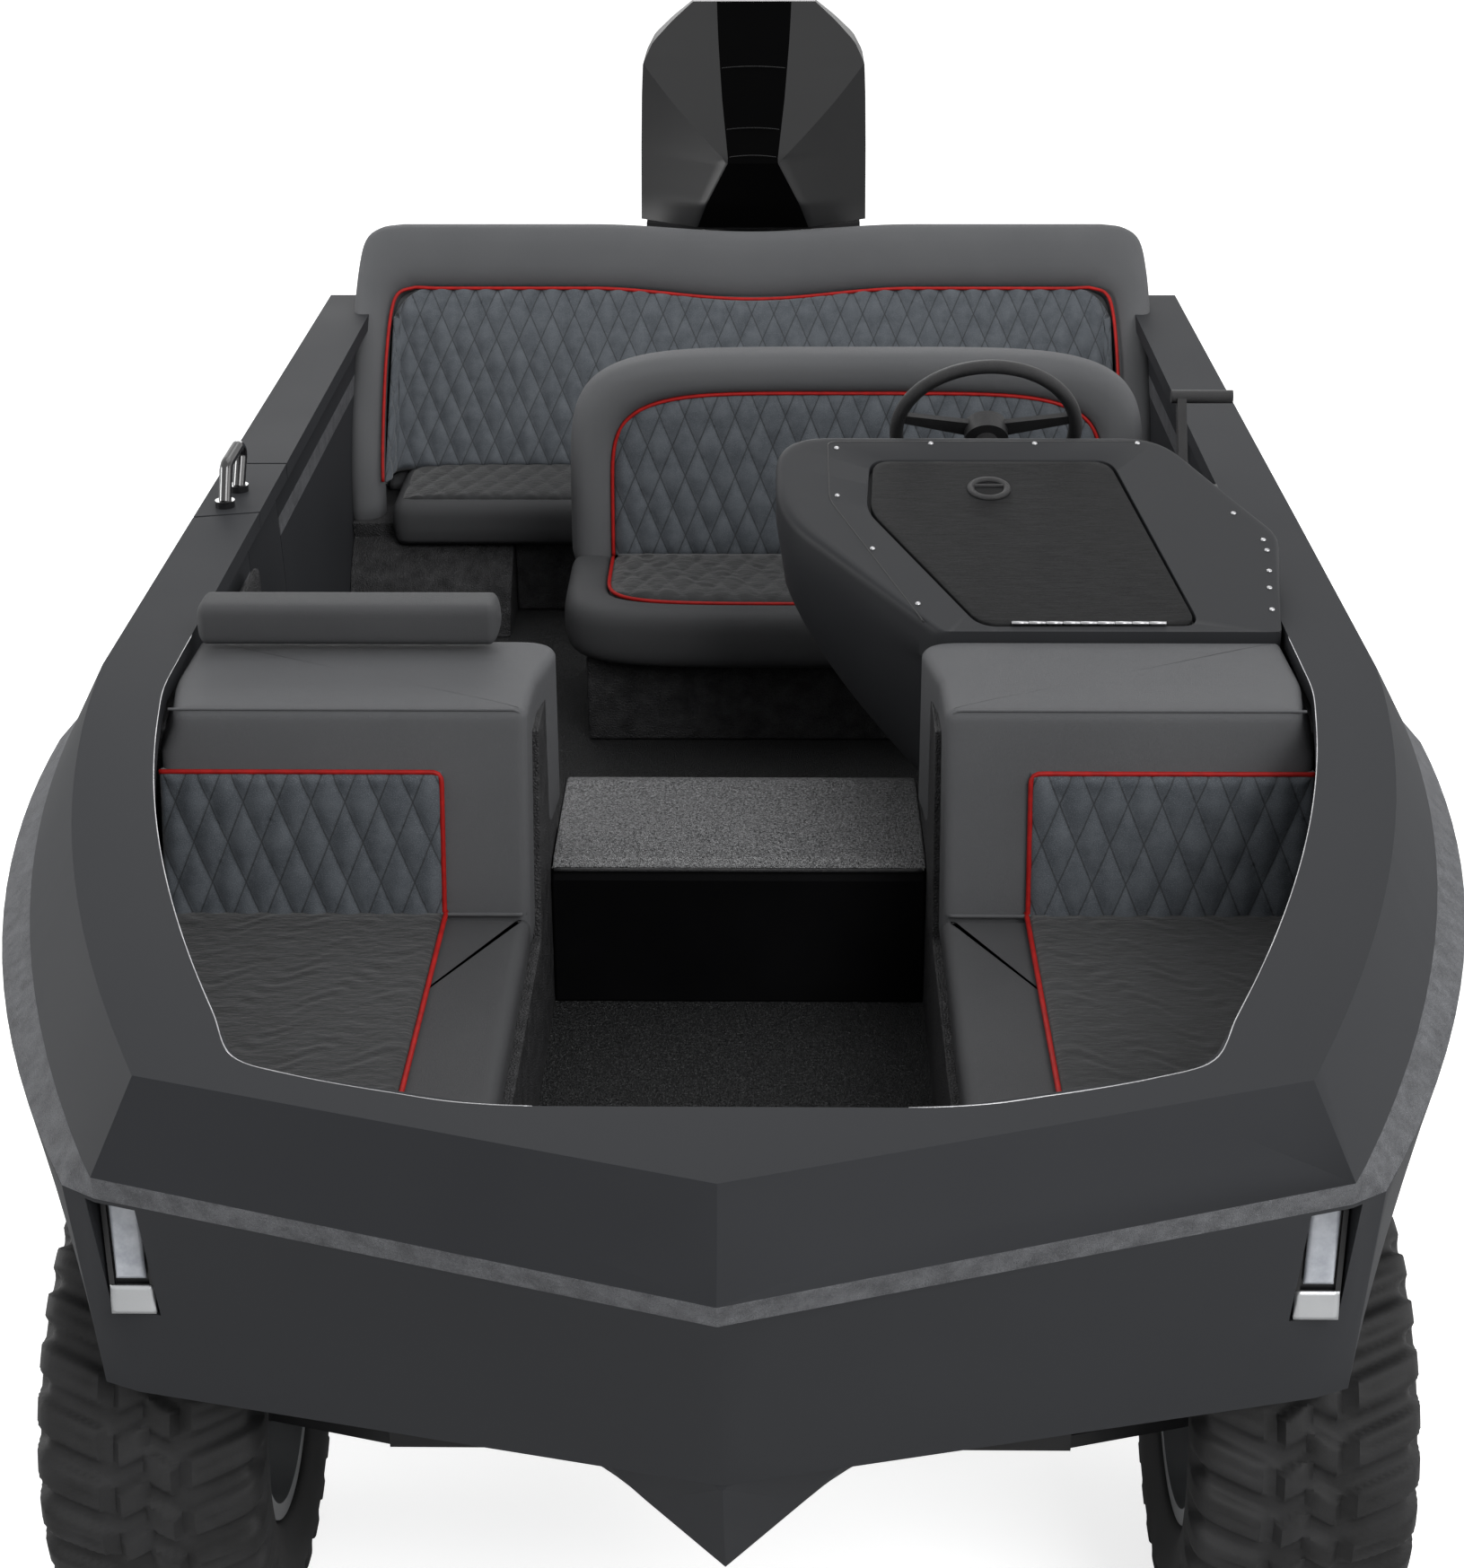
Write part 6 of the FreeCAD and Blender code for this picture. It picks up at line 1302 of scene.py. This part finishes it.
def makeLamps():
    for side, word in ((1, "Left"), (-1, "Right")):
        u = np.linspace(0, 1, 14)[None, :]
        v = np.linspace(0, 1, 30)[:, None]
        x = side * (lamp["in"] + (lamp["out"] - lamp["in"]) * u) + 0 * v
        z = lamp["low"] + (lamp["high"] - lamp["low"]) * v + 0 * u
        front = np.stack((x, lamp["face"] - 0.003 * edgeDrop(u, v, 0.2), z), axis=-1)
        slab("lens" + word, front, front * (1, 0, 1) + (0, lamp["face"] + 0.004, 0), "lampLens")
        u = np.linspace(0, 1, 8)[None, :]
        v = np.linspace(0, 1, 8)[:, None]
        x = side * (lamp["wedgeIn"] + (lamp["wedgeOut"] - lamp["wedgeIn"]) * u) + 0 * v
        z = lamp["wedgeLow"] + (lamp["wedgeHigh"] - lamp["wedgeLow"]) * v + 0 * u
        y = lamp["wedgeFace"] + 0.006 * v ** 2 + 0 * u
        front = np.stack((x, y, z), axis=-1)
        slab("wedge" + word, front, front * (1, 0, 1) + (0, lamp["face"] + 0.003, 0), "rimSilver")


def makeTrim():
    # bright edge round the bow end of the cockpit opening
    y = np.linspace(-0.66, -1.900, 70)
    side = np.column_stack((openingHalf(y) - 0.0005, y))
    bow = np.array(((0.540, -1.940), (0.475, -1.978), (0.36, -2.016), (0.24, -2.042), (0.0, -2.046)))
    half = smooth(np.vstack((side[::6], bow)), 180)
    half = half[half[:, 0] > 0.20]
    for sign, word in ((1, "Left"), (-1, "Right")):
        path = np.column_stack((half * (sign, 1), np.full(len(half), 0.9995)))
        tube("openingTrim" + word, path, 0.0010, (0, 0, 1), "rimTrim", "hull", 6)
    # stitches along the bow cushions' inboard edge
    for side, word in ((1, "Left"), (-1, "Right")):
        y = np.arange(-1.03, -1.88, -0.009)
        places = np.column_stack((np.full(len(y), side * 0.3135), y, np.full(len(y), 0.6962)))
        domes("stitches" + word, places, 0.0019, 0.0012, (-side * 0.5, 0, 0.87), "seatVinyl",
              "hull")
    print("trim ready")



# Cowl: level sections from a black centre strip out over a slanting ridge to the shoulder and tail
cowl = {
    "front": 1.660, "tail": 2.259, "low": 1.103, "high": 1.560, "half": 0.262,
    "pinch": 0.34, "ridgeEnd": 0.74, "ridgeBack": 0.232, "rows": 46, "part": 9,
    # share of the height: strip's half width, strip's y, shoulder's share of the half width, tail's share, tail's y
    "rows5": ((0.00, 0.128, 0.030, 1.00, 0.80, -0.060), (0.12, 0.108, 0.010, 1.00, 0.84, -0.010),
              (0.34, 0.056, 0.000, 1.00, 0.86, 0.000), (0.59, 0.072, 0.145, 0.995, 0.84, -0.004),
              (0.74, 0.079, 0.232, 0.985, 0.80, -0.008), (0.83, 0.083, 0.284, 0.90, 0.72, -0.014),
              (0.92, 0.086, 0.336, 0.73, 0.60, -0.022), (1.00, 0.088, 0.380, 0.55, 0.46, -0.040)),
}


def makeCowl():
    c = cowl
    table = np.array(c["rows5"])
    share = np.linspace(0, 1, c["rows"])
    strip, stripY, wide, tailWide, tailY = (np.interp(share, table[:, 0], table[:, k]) for k in range(1, 6))
    half = c["half"] * wide
    t = np.clip((share - c["pinch"]) / (c["ridgeEnd"] - c["pinch"]), 0, 1)
    above = np.clip(share - c["ridgeEnd"], 0, 1)
    shoulderY = 0.120 + 0.150 * np.minimum(share, c["ridgeEnd"]) + above * 0.58
    ridgeX = strip + 0.004 + (half - 0.004 - strip) * t
    ridgeY = np.where(share < c["pinch"], stripY + 0.002, np.minimum(c["ridgeBack"] * t + above * 0.57, shoulderY))
    stops = [(strip, stripY), (ridgeX, ridgeY), (half, shoulderY), (half, np.full_like(half, 0.42)),
             (c["half"] * tailWide * 0.72, 0.599 + tailY)]
    stops = [np.column_stack(pair) for pair in stops]
    step = np.linspace(0, 1, c["part"], endpoint=False)[None, :, None]
    side = [a[:, None] + (b - a)[:, None] * step for a, b in zip(stops, stops[1:])] + [stops[-1][:, None]]
    side = np.concatenate(side, axis=1)
    section = np.concatenate((side, side[:, ::-1] * (-1, 1)), axis=1)
    high = c["low"] + share * (c["high"] - c["low"])
    shape = np.dstack((section[..., 0], c["front"] + section[..., 1],
                       np.broadcast_to(high[:, None], section.shape[:2])))
    rows, columns = shape.shape[:2]
    faces = quads(rows, columns, wrapColumns=True)
    faces += [list(range(columns)), list(range((rows - 1) * columns, rows * columns))]
    piece = makePiece("cowlShell", shape, faces, "cowlGloss", "motor", ("motor_cowl",), sharp=24)
    piece.data.materials.append(materials["stripBlack"])
    centres = np.empty(len(piece.data.polygons) * 3)
    piece.data.polygons.foreach_get("center", centres)
    centres = centres.reshape(-1, 3)
    level = (centres[:, 2] - c["low"]) / (c["high"] - c["low"])
    inside = np.abs(centres[:, 0]) < np.interp(level, table[:, 0], table[:, 1]) - 0.002
    flags = (inside & (centres[:, 1] < c["front"] + 0.40) & (level < 0.999)).astype(np.int32)
    piece.data.polygons.foreach_set("material_index", flags)
    bevel = piece.modifiers.new("edges", "BEVEL")
    bevel.width, bevel.segments, bevel.limit_method = 0.004, 2, "ANGLE"
    bevel.angle_limit = radians(24)
    bevel.use_clamp_overlap = True
    bevel.harden_normals = True
    # joints across the strip
    for level in (0.36, 0.47, 0.72):
        x = np.linspace(-1, 1, 24) * (np.interp(level, table[:, 0], table[:, 1]) - 0.004)
        y = c["front"] + np.interp(level, table[:, 0], table[:, 2]) - 0.0004 + 0 * x
        z = c["low"] + level * (c["high"] - c["low"]) + 0.004 * (1 - (x / x.max()) ** 2)
        tube(f"stripJoint.{int(level * 100)}", np.column_stack((x, y, z)), 0.0008, (0, 0, 1), "motorPaint",
             "motor", 6)
    print("cowl ready")


# Starboard inner wall: a recessed panel with two small knobs, and the step's ledge
def makeInner():
    corners = ((-0.62, 0.50), (-0.62, 0.93), (-0.14, 0.93), (-0.14, 0.50))
    outline = evenly(cornered(corners, (0.03,) * 4), 160, closed=True)
    rings = np.array([np.column_stack((np.full(160, x), inwards)) for x, inwards in (
        (-0.8395, outline), (-0.834, outline), (-0.8325, outline + unit(outline.mean(axis=0) - outline) * 0.003))])
    faces = quads(3, 160, wrapColumns=True) + [list(range(160)), list(range(320, 480))]
    makePiece("wallPanel", rings, faces, "baseBlack", "hull", sharp=40)
    places = np.array(((-0.8325, -0.56, 0.88), (-0.8325, -0.20, 0.88), (-0.8325, -0.56, 0.55), (-0.8325, -0.20, 0.55)))
    domes("panelKnobs", places, 0.009, 0.008, (1, 0, 0), "gripBlack", "hull")
    x = np.linspace(-0.284, 0.284, 40)
    tube("stepLedge", np.column_stack((x, np.full(40, -0.7858), np.full(40, 0.6625))), 0.0032, (0, 0, 1),
         "gripBlack", "hull")
    print("inner parts ready")


makeStudio()
buildGroups()
buildMaterials()
paintNodes()
dressRigid()
makeBowSeat(1)
makeBowSeat(-1)
makeCapRoll()
makeDriverSeat()
makeRearSeat()
for wheelName in wheels:
    makeWheel(wheelName)
print("wheels ready")
makeConsole()
makeLamps()
makeTrim()
makeCowl()
makeInner()
